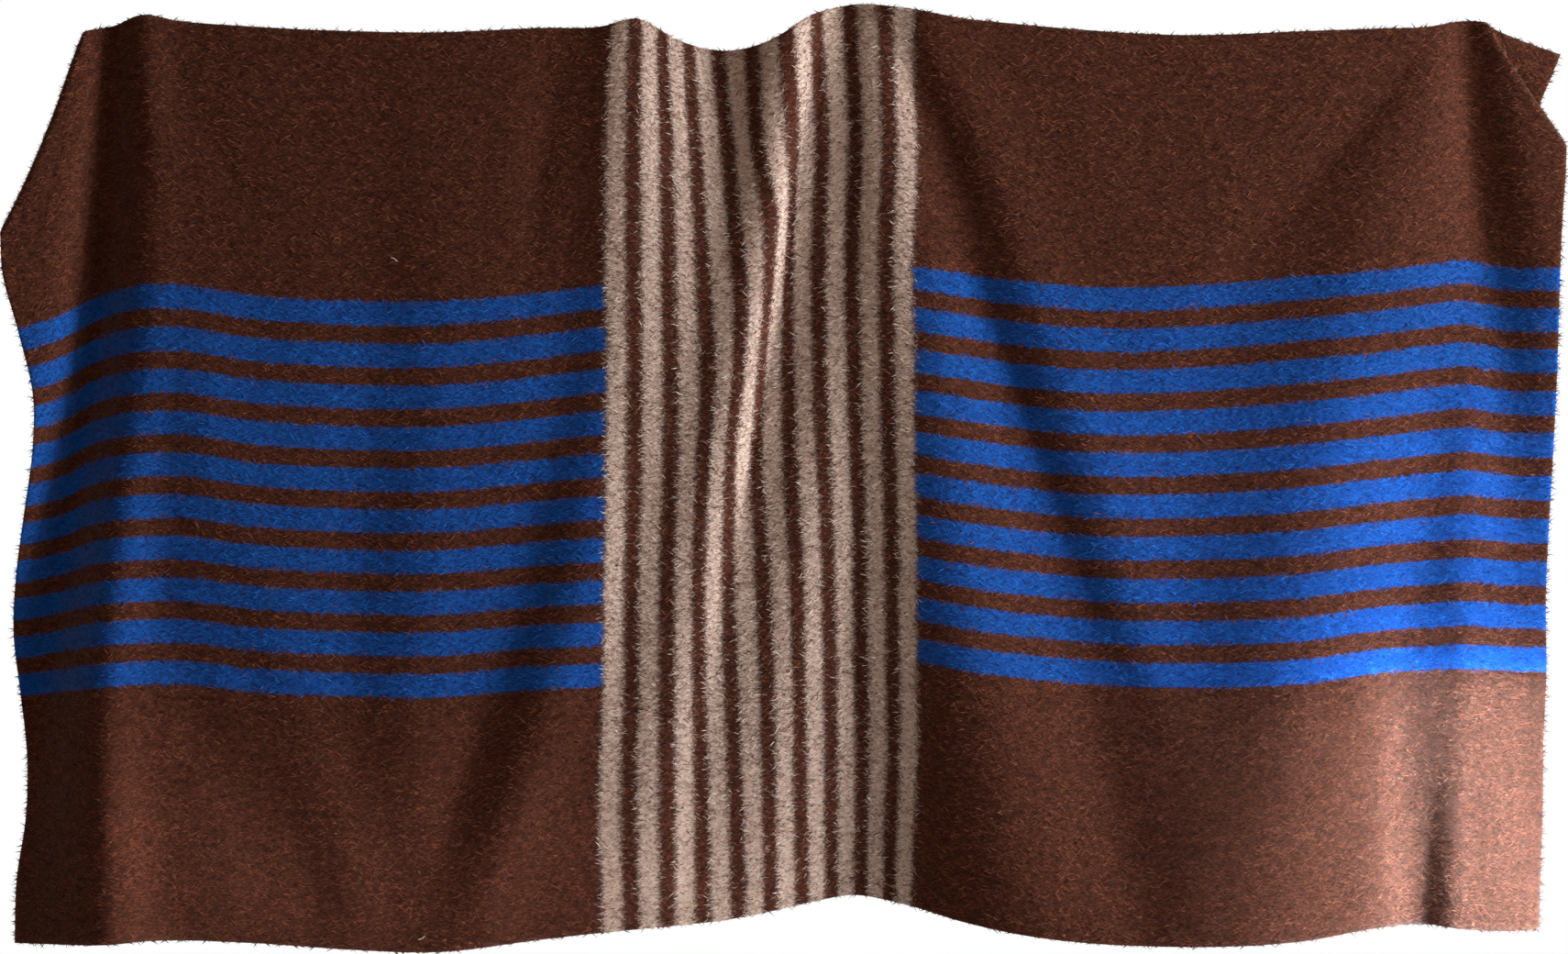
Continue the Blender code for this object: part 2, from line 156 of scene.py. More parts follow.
# The folds: where each one's middle lies across, its half width and its depth, at the four rows.
# The pleat's foot is steep on its left and gentle on its right, where its half width is another one
Fold = namedtuple("Fold", "name across half_width depth right_width", defaults=(None,))
FOLDS = (
    Fold("left margin", (-1.320, -1.320, -1.330, -1.340), (0.200, 0.180, 0.175, 0.210),
         (-0.055, -0.036, 0.080, 0.120)),
    Fold("valley under the first hold", (-1.026, -1.054, -1.140, -1.190), (0.028, 0.044, 0.056, 0.064),
         (0.022, 0.050, 0.046, 0.012)),
    Fold("crest beside it", (-0.973, -0.966, -1.036, -1.036), (0.028, 0.040, 0.048, 0.068),
         (-0.008, -0.008, -0.020, -0.032)),
    Fold("left swag's valley", (-0.990, -0.975, -0.905, -0.693), (0.050, 0.055, 0.060, 0.070),
         (0.0, 0.003, 0.007, 0.002)),
    Fold("left swag's crest", (-0.920, -0.900, -0.822, -0.610), (0.060, 0.065, 0.065, 0.070),
         (0.0, -0.004, -0.007, -0.002)),
    Fold("middle valley of the left panel", (-0.640, -0.630, -0.650, -0.650), (0.080, 0.075, 0.055, 0.050),
         (0.0, 0.004, 0.004, 0.0)),
    Fold("middle crest of the left panel", (-0.525, -0.520, -0.560, -0.567), (0.080, 0.075, 0.060, 0.050),
         (0.0, -0.004, -0.005, 0.0)),
    Fold("valley before the band", (-0.322, -0.333, -0.430, -0.574), (0.050, 0.050, 0.055, 0.070),
         (0.001, 0.004, 0.006, 0.002)),
    Fold("slanting crest before the band", (-0.252, -0.266, -0.350, -0.494), (0.045, 0.050, 0.065, 0.080),
         (-0.002, -0.004, -0.007, -0.004)),
    Fold("crest under the second hold", (-0.234, -0.234, -0.231, -0.231), (0.039, 0.056, 0.070, 0.070),
         (-0.010, -0.003, -0.001, -0.001)),
    Fold("valley in the band", (-0.095, -0.105, -0.238, -0.224), (0.056, 0.070, 0.056, 0.070),
         (0.026, 0.006, 0.002, 0.002)),
    Fold("pleat's crest", (0.004, -0.056, -0.182, -0.210), (0.042, 0.048, 0.065, 0.070),
         (-0.013, -0.008, -0.005, -0.002)),
    Fold("pleat's foot", (0.066, 0.004, -0.104, -0.135), (0.027, 0.027, 0.036, 0.056),
         (0.016, 0.025, 0.008, 0.002), (0.060, 0.080, 0.085, 0.080)),
    Fold("dent under the third hold", (0.098, 0.098, 0.094, 0.091), (0.026, 0.034, 0.045, 0.056),
         (0.007, 0.004, 0.002, 0.0)),
    Fold("crest by the band's right border", (0.150, 0.154, 0.182, 0.190), (0.026, 0.034, 0.045, 0.056),
         (-0.003, -0.003, 0.0, 0.0)),
    Fold("hollow in the band's right side", (0.126, 0.120, 0.100, 0.100), (0.070, 0.070, 0.085, 0.105),
         (0.002, 0.003, 0.012, 0.022)),
    Fold("crest past the band", (0.192, 0.220, 0.292, 0.390), (0.048, 0.060, 0.094, 0.165),
         (-0.003, -0.010, -0.028, -0.052)),
    Fold("right slanting valley", (0.150, 0.291, 0.470, 0.540), (0.050, 0.056, 0.060, 0.070),
         (0.008, 0.012, 0.008, 0.002)),
    Fold("crest beyond it", (0.224, 0.372, 0.556, 0.620), (0.050, 0.062, 0.070, 0.080),
         (-0.003, -0.009, -0.006, -0.002)),
    Fold("swag from the fourth hold", (0.987, 0.700, 0.623, 0.609), (0.050, 0.060, 0.080, 0.080),
         (0.002, 0.004, 0.0, 0.0)),
    Fold("right shoulder", (1.012, 0.875, 0.775, 0.693), (0.070, 0.085, 0.140, 0.168),
         (-0.002, -0.012, -0.034, -0.050)),
    Fold("right trough", (1.029, 1.029, 0.950, 0.962), (0.056, 0.056, 0.046, 0.044),
         (0.002, 0.008, 0.009, 0.019)),
    Fold("low crest by the right edge", (1.057, 1.057, 1.035, 1.022), (0.028, 0.028, 0.026, 0.026),
         (0.0, 0.0, -0.004, -0.008)),
    Fold("valley by the right edge", (1.043, 1.086, 1.125, 1.175), (0.036, 0.056, 0.050, 0.050),
         (0.018, 0.024, 0.008, 0.018)),
    Fold("right edge, turned back", (1.323, 1.323, 1.309, 1.309), (0.126, 0.126, 0.126, 0.126),
         (0.016, 0.016, 0.044, 0.066)),
)

# The left top corner is folded behind, along a line between these two distances from the corner
LEFT_CREASE_ALONG_TOP = 0.207
LEFT_CREASE_DOWN_SIDE = 0.252
LEFT_CREASE_RADIUS = 0.009
LEFT_CREASE_TURN = math.radians(166)

# The right top corner is folded behind and out again. The first crease ends at these two distances
# from the corner, and the second one starts from the same point of the top edge
RIGHT_CREASE_ALONG_TOP = 0.138
RIGHT_CREASE_DOWN_SIDE = 0.212
RIGHT_CREASE_ANGLE = math.radians(10)
RIGHT_CREASE_RADIUS = 0.0065

# The small creases: where each one runs, as (across, height) places, its half width and its depth
Crease = namedtuple("Crease", "name path half_width depth")
CREASES = (
    Crease("pull from the first hold, down", ((-1.000, 0.01), (-0.985, -0.12), (-0.955, -0.30)),
           0.016, 0.0030),
    Crease("pull from the first hold, right", ((-0.960, 0.01), (-0.890, -0.12), (-0.800, -0.30)),
           0.020, 0.0022),
    Crease("swag line, left", ((-0.905, -0.62), (-0.850, -0.90), (-0.760, -1.14), (-0.660, -1.36)),
           0.048, 0.0110),
    Crease("pull from the second hold, left", ((-0.345, 0.00), (-0.370, -0.20), (-0.400, -0.45)),
           0.030, 0.0060),
    Crease("pull from the second hold, right", ((-0.205, 0.01), (-0.185, -0.10), (-0.165, -0.26)),
           0.013, 0.0026),
    Crease("swag line before the band",
           ((-0.290, -0.60), (-0.315, -0.85), (-0.390, -1.13), (-0.470, -1.36)), 0.055, -0.0090),
    Crease("pleat, upper", ((0.040, -0.03), (0.016, -0.20), (-0.004, -0.38)), 0.010, 0.0050),
    Crease("pleat, lower", ((-0.010, -0.34), (-0.030, -0.54), (-0.066, -0.72)), 0.010, 0.0045),
    Crease("pull from the third hold, down", ((0.104, 0.03), (0.112, -0.14), (0.098, -0.40)),
           0.012, 0.0030),
    Crease("pull from the third hold, right", ((0.165, 0.03), (0.245, -0.14), (0.335, -0.36)),
           0.028, 0.0080),
    Crease("right diagonal, middle", ((0.270, -0.30), (0.380, -0.60), (0.490, -0.90)), 0.020, 0.0040),
    Crease("right diagonal, low", ((0.440, -0.78), (0.540, -1.02), (0.620, -1.20)), 0.024, 0.0034),
    Crease("right panel's low swell", ((0.560, -1.02), (0.574, -1.28), (0.574, -1.54)), 0.110, -0.0090),
    Crease("left panel's low hollow", ((-0.600, -1.12), (-0.600, -1.28), (-0.600, -1.44)),
           0.038, 0.0030),
    Crease("hollow line beside the band", ((0.120, -0.60), (0.100, -0.92), (0.130, -1.24)),
           0.022, 0.0036),
    Crease("pull from the fourth hold, left", ((0.990, 0.00), (0.900, -0.12), (0.760, -0.28)),
           0.020, 0.0026),
    Crease("pull from the fourth hold, down", ((1.036, -0.02), (1.052, -0.16), (1.080, -0.36)),
           0.012, 0.0030),
    Crease("low dent by the right edge", ((0.996, -1.12), (0.988, -1.24), (0.976, -1.38)),
           0.010, 0.0014),
    Crease("hem's soft wave, left", ((-1.080, -1.36), (-0.940, -1.345), (-0.780, -1.37)),
           0.016, 0.0020),
    Crease("hem's soft wave, right", ((0.330, -1.34), (0.500, -1.352), (0.700, -1.36)), 0.016, 0.0020),
)

# The slow waves and the fine unevenness of the cloth: waves a metre across and down, and height
WAVES = ((7.0, 3.0, 0.0020), (19.0, 9.0, 0.0008))

# How the sheet's faces are shared out: (from, to, faces) along the flat cloth
Stretch = namedtuple("Stretch", "start end faces")
COLUMNS = (
    Stretch(0.0, 0.30, 48),
    Stretch(0.30, 1.15, 74),
    Stretch(1.15, 1.45, 44),
    Stretch(1.45, 2.42, 84),
    Stretch(2.42, WIDTH, 34),
)
LINES = (
    Stretch(0.0, 0.27, 44),
    Stretch(0.27, LENGTH, 98),
)
CREASE_STEPS = 6

# How steeply a small crease fades out towards its two ends: the power of a half wave
CREASE_FADE = 0.7

# How finely the hanging rows are measured along their folds, and the turn of the right corner
ROW_STEP = 0.01
ROW_SAMPLES = 900
TABLE_STEP = 0.0025
TURN_SAMPLES = 200

# How close to a crease a corner of a face counts as on it, the shortest edge that a cut may leave, and
# the step along the cloth that gives the direction of its weft
CUT_TOLERANCE = 1e-5
SHORTEST_EDGE = 0.0012
WEFT_STEP = 0.002

# The nap, layer by layer. Side is 1 in front and -1 behind, and the last four are shares of the nap's
# own fibres per square metre, length and width, and of its lift
Nap = namedtuple("Nap", "name side seed density length width lift")
NAPS = (
    Nap("under_nap", 1, 11, 1.0, 0.75, 1.3, 0.6),
    Nap("long_nap", 1, 23, 1.0, 1.0, 1.0, 1.0),
    Nap("loose_nap", 1, 37, 0.95, 1.05, 0.65, 1.3),
    Nap("back_nap", -1, 53, 1.0, 1.0, 1.15, 1.0),
)

# The fibres' roots sit at this share of the cloth's thickness from its middle, and the shortest and the
# longest fibres have these shares of their layer's length
ROOT_SHARE = 0.42
SHORTEST_SHARE = 0.55
LONGEST_SHARE = 1.2

# How softly the borders of the stripes change colour: half the width of the change, in the milled ground
# and in the raised fibres
GROUND_CREAM_SOFTNESS = 0.008
GROUND_BLUE_SOFTNESS = 0.0012
FIBRE_CREAM_SOFTNESS = 0.0040
FIBRE_BLUE_SOFTNESS = 0.0008

# How far the borders of the cream stripes move in all: by the ground's strokes, by single fibres, and
# slowly by loose weaving. The blue stripes' borders have a share of it
STROKE_FRAY = 0.016
FIBRE_FRAY = 0.013
WANDER = 0.006
WANDERS_PER_METRE = 16.0
CROSS_SHARE = 0.33

# The share of the fibres that have worked their way out of a stripe, and how far they have come
STRAY_SHARE = 0.09
STRAY_REACH = 0.02

# The matted strokes of the milled ground, and the clumps of the raised fibres
STROKE_LENGTH = 0.008
STROKE_WIDTH = 0.0018
CLUMPS_PER_METRE = 85.0
CLUMP_CONTRAST = 1.8

# What the cream wool looks like where it lies thin over the brown
VIOLET_MIXTURE = "#4A3844"

# The baking map: the corners of a fibre's triangle in its own cell, and for the cloth its side margins,
# where its front, its back and its rim lie, and how high its front and its back are
CELL_CORNERS = ((0.85, 0.5), (0.15, 0.85), (0.15, 0.15))
MAP_MARGIN = 0.01
MAP_FRONT = 0.005
MAP_BACK = 0.515
MAP_RIM = (0.495, 0.505)
MAP_SIDE = 0.48

# The lamps: where each stands and aims, its width, height and spread, and its tint. Five are large and
# soft, the fifth of them behind the cloth. The last four are beams: one sweeps over the hem, one strikes
# the right shoulder, and two the lower right corner
Lamp = namedtuple("Lamp", "name place target width height spread tint")
LAMPS = (
    Lamp("key", (6.60, -1.75, -0.70), (0.10, 0.0, -0.72), 2.00, 2.00, 180, "#FFF8F2"),
    Lamp("high", (2.80, -1.60, 1.20), (0.20, 0.0, -0.70), 1.20, 1.20, 180, "#FFF4EA"),
    Lamp("top", (0.30, -2.00, 1.60), (0.00, 0.0, -0.70), 1.50, 1.50, 180, "#FFDCC0"),
    Lamp("left", (-2.80, -1.80, -0.60), (-0.20, 0.0, -0.70), 1.20, 1.20, 180, "#FFD6B8"),
    Lamp("behind", (-1.50, 3.00, 0.60), (0.00, 0.0, -0.70), 1.50, 1.50, 180, "#FFF4EA"),
    Lamp("sweep", (3.90, -1.00, -1.42), (-0.90, 0.0, -1.30), 0.20, 0.30, 7, "#FFF6F0"),
    Lamp("shoulder", (2.30, -0.75, -0.72), (0.95, 0.0, -0.74), 0.24, 0.30, 18, "#EAF3FF"),
    Lamp("low", (2.119, -0.60, -1.165), (1.08, 0.0, -1.225), 0.18, 0.50, 5, "#BDE6FF"),
    Lamp("low_glow", (2.080, -0.60, -1.140), (1.02, 0.0, -1.230), 0.26, 0.56, 16, "#D6EEFF"),
)

# Bits of white lint: where each lies, across and in height, its turn and its bend
Lint = namedtuple("Lint", "name across height turn bend")
LINTS = (
    Lint("white_lint_upper", -0.595, -0.339, -0.6, 0.5),
    Lint("white_lint_lower", -0.553, -1.373, 0.5, -0.6),
)
LINT_LENGTH = 0.011
LINT_RADIUS = 0.0005
LINT_PIECES = 8
LINT_RISE = 0.005

# The camera's height, which is that of the photograph's middle row, and the square floor: half its side,
# how far its middle lies in front of the cloth, and its faces along a side
VIEW_HEIGHT = -0.6706
FLOOR_HALF_SIDE = 3.0
FLOOR_AHEAD = 1.0
FLOOR_FACES = 8


def linear(code):
    """Turns an sRGB hex value to the linear colour that Blender's sockets take."""
    parts = [int(code[place:place + 2], 16) / 255 for place in (1, 3, 5)]
    return tuple(part / 12.92 if part <= 0.04045 else ((part + 0.055) / 1.055) ** 2.4 for part in parts)


def smooth(place, places, values):
    """A smooth curve through the values: cubic pieces, whose slopes come from the steps on both sides."""
    places = np.asarray(places, float)
    values = np.asarray(values, float)
    step = np.diff(places)
    slope = np.diff(values) / step
    tangent = np.empty_like(values)
    tangent[1:-1] = (slope[:-1] * step[1:] + slope[1:] * step[:-1]) / (step[:-1] + step[1:])
    tangent[0] = slope[0]
    tangent[-1] = slope[-1]
    place = np.clip(place, places[0], places[-1])
    piece = np.clip(np.searchsorted(places, place, side="right") - 1, 0, len(step) - 1)
    width = step[piece]
    part = (place - places[piece]) / width
    rest = 1 - part
    ends = values[piece] * (1 + 2 * part) * rest**2 + values[piece + 1] * part**2 * (1 + 2 * rest)
    turns = tangent[piece] * part * rest**2 - tangent[piece + 1] * part**2 * rest
    return ends + width * turns


def column(table, name):
    """One column of a table, as a list."""
    return [getattr(row, name) for row in table]


def edge(name, down):
    """Where an upright edge or a border of the band hangs, across."""
    return smooth(down, column(EDGES, "down"), column(EDGES, name))


def between_rows(down, values):
    """The smooth run down the cloth between four values that differ from point to point."""
    weights = [smooth(down, ROWS, np.eye(len(ROWS))[index]) for index in range(len(ROWS))]
    return sum(weight * value for weight, value in zip(weights, values))


def height(across, down):
    """How high a point of the cloth hangs, at its place across and its distance down."""
    places = column(HEIGHTS, "across")
    rows = [smooth(across, places, column(HEIGHTS, name)) for name in ("top", "first", "last", "hem")]
    return between_rows(down, rows)


def depth(across, down):
    """How far behind the plane in which it is held the folds take a point of the cloth."""
    total = np.zeros(np.broadcast(across, down).shape)
    for fold in FOLDS:
        middle = smooth(down, ROWS, fold.across)
        half_width = smooth(down, ROWS, fold.half_width)
        if fold.right_width:
            half_width = np.where(across > middle, smooth(down, ROWS, fold.right_width), half_width)
        total += smooth(down, ROWS, fold.depth) * np.exp(-(((across - middle) / half_width) ** 2))
    return total


def measured_rows():
    """For rows of the cloth at even steps down: the places across, and the cloth's own width up to each.

    The width that a row has along its folds is scaled to the flat cloth's, from border to border.
    """
    down = np.linspace(0, LENGTH, round(LENGTH / ROW_STEP) + 1)[:, None]
    share = np.linspace(0, 1, ROW_SAMPLES)[None, :]
    across = edge("left", down) * (1 - share) + edge("right", down) * share
    steps = np.hypot(np.diff(across), np.diff(depth(across, down)))
    steps = np.hypot(steps, np.diff(height(across, down)))
    along = np.concatenate([np.zeros((len(down), 1)), np.cumsum(steps, axis=1)], axis=1)
    stripes = [PANEL_WIDTH + nth * (CREAM_STRIPE + CREAM_GAP) for nth in range(2, 7)]
    flat_marks = (0, PANEL_WIDTH, *stripes, PANEL_WIDTH + BAND_WIDTH, WIDTH)
    places = column(BORDERS, "down")
    leaning = [smooth(down[:, 0], places, column(BORDERS, name)) for name in Borders._fields[1:]]
    borders = np.stack([edge("band_left", down[:, 0]), *leaning, edge("band_right", down[:, 0])], axis=1)
    flat = np.empty_like(along)
    for row in range(len(down)):
        marks = np.interp(borders[row], across[row], along[row])
        flat[row] = np.interp(along[row], (0, *marks, along[row, -1]), flat_marks)
    return across, flat


def across_table():
    """The place across of each point of an even grid on the flat cloth."""
    across, flat = measured_rows()
    even = np.linspace(0, WIDTH, round(WIDTH / TABLE_STEP) + 1)
    return np.array([np.interp(even, flat[row], across[row]) for row in range(len(flat))])


def hung(table, along, down):
    """The hanging places of points of the flat cloth, before its corners are folded."""
    row = np.clip(down / LENGTH, 0, 1) * (table.shape[0] - 1)
    col = np.clip(along / WIDTH, 0, 1) * (table.shape[1] - 1)
    low_row = np.minimum(row.astype(int), table.shape[0] - 2)
    low_col = np.minimum(col.astype(int), table.shape[1] - 2)
    row -= low_row
    col -= low_col
    upper = table[low_row, low_col] * (1 - col) + table[low_row, low_col + 1] * col
    lower = table[low_row + 1, low_col] * (1 - col) + table[low_row + 1, low_col + 1] * col
    across = upper * (1 - row) + lower * row
    return np.stack([across, depth(across, down), height(across, down)], axis=-1)


def left_crease():
    """A point on the left crease, the direction along it, and the one across it, towards the corner."""
    point = np.array([LEFT_CREASE_ALONG_TOP, 0.0])
    direction = np.array([-LEFT_CREASE_ALONG_TOP, LEFT_CREASE_DOWN_SIDE])
    direction /= np.linalg.norm(direction)
    outward = np.array([-direction[1], direction[0]])
    # the roll reaches one radius past its line, and the crease that shows is its outermost line
    return point - outward * LEFT_CREASE_RADIUS, direction, outward


def right_crease():
    """The point that the right creases start from, the way along the first one, and the way across it."""
    point = np.array([WIDTH - RIGHT_CREASE_ALONG_TOP, 0.0])
    direction = np.array([RIGHT_CREASE_ALONG_TOP, RIGHT_CREASE_DOWN_SIDE])
    direction /= np.linalg.norm(direction)
    outward = np.array([direction[1], -direction[0]])
    return point, direction, outward


def fold_left_corner(flat, behind):
    """Rolls the left corner round its crease, so that it hangs behind the cloth, a little open."""
    point, _, outward = left_crease()
    past = (flat - point) @ outward
    radius = LEFT_CREASE_RADIUS
    angle = np.clip(past / radius, 0, LEFT_CREASE_TURN)
    run = np.clip(past - LEFT_CREASE_TURN * radius, 0, None)
    moved = np.where(past > 0, radius * np.sin(angle) + run * math.cos(LEFT_CREASE_TURN), past)
    flat += (moved - past)[:, None] * outward
    behind += radius * (1 - np.cos(angle)) + run * math.sin(LEFT_CREASE_TURN)


def fold_right_corner(flat, behind):
    """Folds the right corner behind and out again, so that it turns round one point of the top edge.

    The cloth turns back by an angle, runs on, and turns forward by the same angle. Near that point of
    the top edge there is too little cloth for a whole turn, so the angle is smaller there.
    """
    point, direction, outward = right_crease()
    from_point = flat - point
    reach = np.hypot(from_point[:, 0], from_point[:, 1])
    turn = np.arctan2(from_point @ outward, from_point @ direction)
    folded = (turn > 0) & (from_point[:, 0] > 0) & (reach > 0)
    reach, turn = reach[folded], turn[folded]
    radius = RIGHT_CREASE_RADIUS
    angles = np.linspace(0, math.pi, TURN_SAMPLES)
    angle = np.interp(reach * RIGHT_CREASE_ANGLE / radius, angles - np.sin(angles), angles)
    run = np.clip(reach * RIGHT_CREASE_ANGLE - math.pi * radius, 0, None)
    past = reach * turn
    first = np.clip(past / radius, 0, angle)
    between = np.clip(past - radius * angle, 0, run)
    second = np.clip((past - radius * angle - run) / radius, 0, angle)
    after = np.clip(past - 2 * radius * angle - run, 0, None)
    shift = radius * np.sin(first) + between * np.cos(angle) + after
    shift += radius * (np.sin(angle) - np.sin(angle - second))
    back = radius * (1 - np.cos(first)) + between * np.sin(angle)
    back += radius * (np.cos(angle - second) - np.cos(angle))
    turned = shift / reach
    flat[folded] = point + reach[:, None] * (
        np.cos(turned)[:, None] * direction + np.sin(turned)[:, None] * outward
    )
    behind[folded] += back


def creased(places):
    """How far the small creases push the cloth back or forth, at its hanging places."""
    total = np.zeros(len(places))
    here = places[:, (0, 2)]
    for crease in CREASES:
        path = np.array(crease.path)
        pieces = np.linalg.norm(np.diff(path, axis=0), axis=1)
        length = pieces.sum()
        nearest = np.full(len(here), np.inf)
        share = np.zeros(len(here))
        start = 0.0
        for first, second, piece in zip(path[:-1], path[1:], pieces):
            way = (second - first) / piece
            run = np.clip((here - first) @ way, 0, piece)
            distance = np.linalg.norm(here - first - run[:, None] * way, axis=1)
            closer = distance < nearest
            nearest = np.where(closer, distance, nearest)
            share = np.where(closer, (start + run) / length, share)
            start += piece
        fade = np.sin(math.pi * np.clip(share, 0, 1)) ** CREASE_FADE
        total += crease.depth * fade * np.exp(-((nearest / crease.half_width) ** 2))
    return total


def uneven(flat):
    """The slow waves and the fine unevenness of hanging wool."""
    total = np.zeros(len(flat))
    for across, down, size in WAVES:
        total += [size * noise.noise((point[0] * across, point[1] * down, across)) for point in flat]
    return total


def hang(flat, table, relief):
    """The places in which points of the flat cloth hang, corners folded, with its relief pressed in."""
    flat = np.array(flat, float)
    behind = np.zeros(len(flat))
    fold_left_corner(flat, behind)
    fold_right_corner(flat, behind)
    places = hung(table, flat[:, 0], flat[:, 1])
    places[:, 1] += behind + relief
    return places


def marks(stretches):
    """The places of the faces' edges along a side that is shared out in stretches."""
    places = [0.0]
    for stretch in stretches:
        places += list(np.linspace(stretch.start, stretch.end, stretch.faces + 1)[1:])
    return np.array(places)


def split_along(mesh, point, outward):
    """Cuts the flat cloth's faces along a straight crease, on the corner's side only."""
    corner = Vector((point[0], point[1], 0.0))
    normal = Vector((outward[0], outward[1], 0.0))
    reach = max(LEFT_CREASE_DOWN_SIDE, RIGHT_CREASE_DOWN_SIDE) + LEFT_CREASE_ALONG_TOP
    near = [face for face in mesh.faces if (face.calc_center_median() - corner).length < reach]
    edges = {edge for face in near for edge in face.edges}
    verts = {vert for face in near for vert in face.verts}
    bmesh.ops.bisect_plane(mesh, geom=near + list(edges) + list(verts), dist=CUT_TOLERANCE,
                           plane_co=corner, plane_no=normal)


def flat_cloth():
    """The flat cloth as a grid of faces, finer where it folds, cut along its creases."""
    columns = marks(COLUMNS)
    lines = marks(LINES)
    mesh = bmesh.new()
    bmesh.ops.create_grid(mesh, x_segments=len(columns) - 1, y_segments=len(lines) - 1, size=0.5)
    for vert in mesh.verts:
        vert.co.x = columns[round((vert.co.x + 0.5) * (len(columns) - 1))]
        vert.co.y = lines[round((vert.co.y + 0.5) * (len(lines) - 1))]
    point, _, outward = left_crease()
    for step in np.linspace(0, math.pi * LEFT_CREASE_RADIUS, CREASE_STEPS + 1):
        split_along(mesh, point + outward * step, outward)
    point, direction, outward = right_crease()
    angle = RIGHT_CREASE_ANGLE
    second = outward * math.cos(angle) - direction * math.sin(angle)
    for across in (outward, second):
        for step in np.linspace(0, math.pi * RIGHT_CREASE_RADIUS, CREASE_STEPS + 1):
            split_along(mesh, point + across * step, across)
    bmesh.ops.remove_doubles(mesh, verts=mesh.verts, dist=SHORTEST_EDGE)
    bmesh.ops.triangulate(mesh, faces=mesh.faces)
    bmesh.ops.reverse_faces(mesh, faces=mesh.faces)
    return mesh


def hanging_sheet(name):
    """The hanging cloth as a sheet without thickness, whose faces look to the front.

    It carries each point's place on the flat cloth, and the direction of its weft.
    """
    mesh = flat_cloth()
    flat = np.array([(vert.co.x, vert.co.y) for vert in mesh.verts])
    table = across_table()
    relief = creased(hang(flat, table, np.zeros(len(flat)))) + uneven(flat)
    places = hang(flat, table, relief)
    for vert, place in zip(mesh.verts, places):
        vert.co = place
    data = bpy.data.meshes.new(name)
    mesh.to_mesh(data)
    mesh.free()
    ahead = flat.copy()
    ahead[:, 0] += WEFT_STEP
    weft = hang(ahead, table, relief) - hang(flat, table, relief)
    last = flat[:, 0] > WIDTH - WEFT_STEP
    weft[last] = (1.0, 0.0, 0.0)
    weft /= np.maximum(np.linalg.norm(weft, axis=1), 1e-9)[:, None]
    flat_places = np.column_stack([flat, np.zeros(len(flat))])
    for attribute, values in (("flat", flat_places), ("weft", weft)):
        stored = data.attributes.new(attribute, "FLOAT_VECTOR", "POINT")
        stored.data.foreach_set("vector", values.ravel())
    data.shade_smooth()
    return data


def show(data, name):
    """Links a mesh to the scene as a new object."""
    obj = bpy.data.objects.new(name, data)
    bpy.context.scene.collection.objects.link(obj)
    return obj


def plain_mesh(obj):
    """The object's mesh with its modifiers worked out. The object itself is removed."""
    graph = bpy.context.evaluated_depsgraph_get()
    data = bpy.data.meshes.new_from_object(obj.evaluated_get(graph))
    bpy.data.objects.remove(obj, do_unlink=True)
    return data


def finish_piece(obj):
    """Says which body the piece rides on."""
    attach(obj, BODY)


def add(tree, kind, inputs=None, **settings):
    """Adds a node with its settings. Each input is linked if it is given a socket, and set if not."""
    node = tree.nodes.new(kind)
    for name, value in settings.items():
        setattr(node, name, value)
    for key, value in (inputs or {}).items():
        if isinstance(value, bpy.types.NodeSocket):
            tree.links.new(value, node.inputs[key])
        else:
            node.inputs[key].default_value = value
    return node


def stripe_mask(tree, place, stripe, gap, count, softness, wander):
    """From 1 on the stripes to 0 off them, at a place that is measured from the first stripe's border."""
    pitch = stripe + gap
    shifted = add(tree, "ShaderNodeMath", {0: place, 1: (pitch - stripe) / 2}, operation="ADD").outputs[0]
    turned = add(tree, "ShaderNodeMath", {0: shifted, 1: pitch}, operation="FLOORED_MODULO").outputs[0]
    centred = add(tree, "ShaderNodeMath", {0: turned, 1: pitch / 2}, operation="SUBTRACT").outputs[0]
    away = add(tree, "ShaderNodeMath", {0: centred}, operation="ABSOLUTE").outputs[0]
    inside = add(tree, "ShaderNodeMath", {0: stripe / 2, 1: away}, operation="SUBTRACT").outputs[0]
    frayed = add(tree, "ShaderNodeMath", {0: inside, 1: wander}, operation="ADD").outputs[0]
    mask = add(tree, "ShaderNodeMapRange", {0: frayed, 1: -softness, 2: softness},
               interpolation_type="SMOOTHSTEP").outputs[0]
    begun = add(tree, "ShaderNodeMath", {0: shifted, 1: 0.0}, operation="GREATER_THAN").outputs[0]
    ended = add(tree, "ShaderNodeMath", {0: shifted, 1: pitch * count}, operation="LESS_THAN").outputs[0]
    within = add(tree, "ShaderNodeMath", {0: begun, 1: ended}, operation="MULTIPLY").outputs[0]
    return add(tree, "ShaderNodeMath", {0: mask, 1: within}, operation="MULTIPLY").outputs[0]


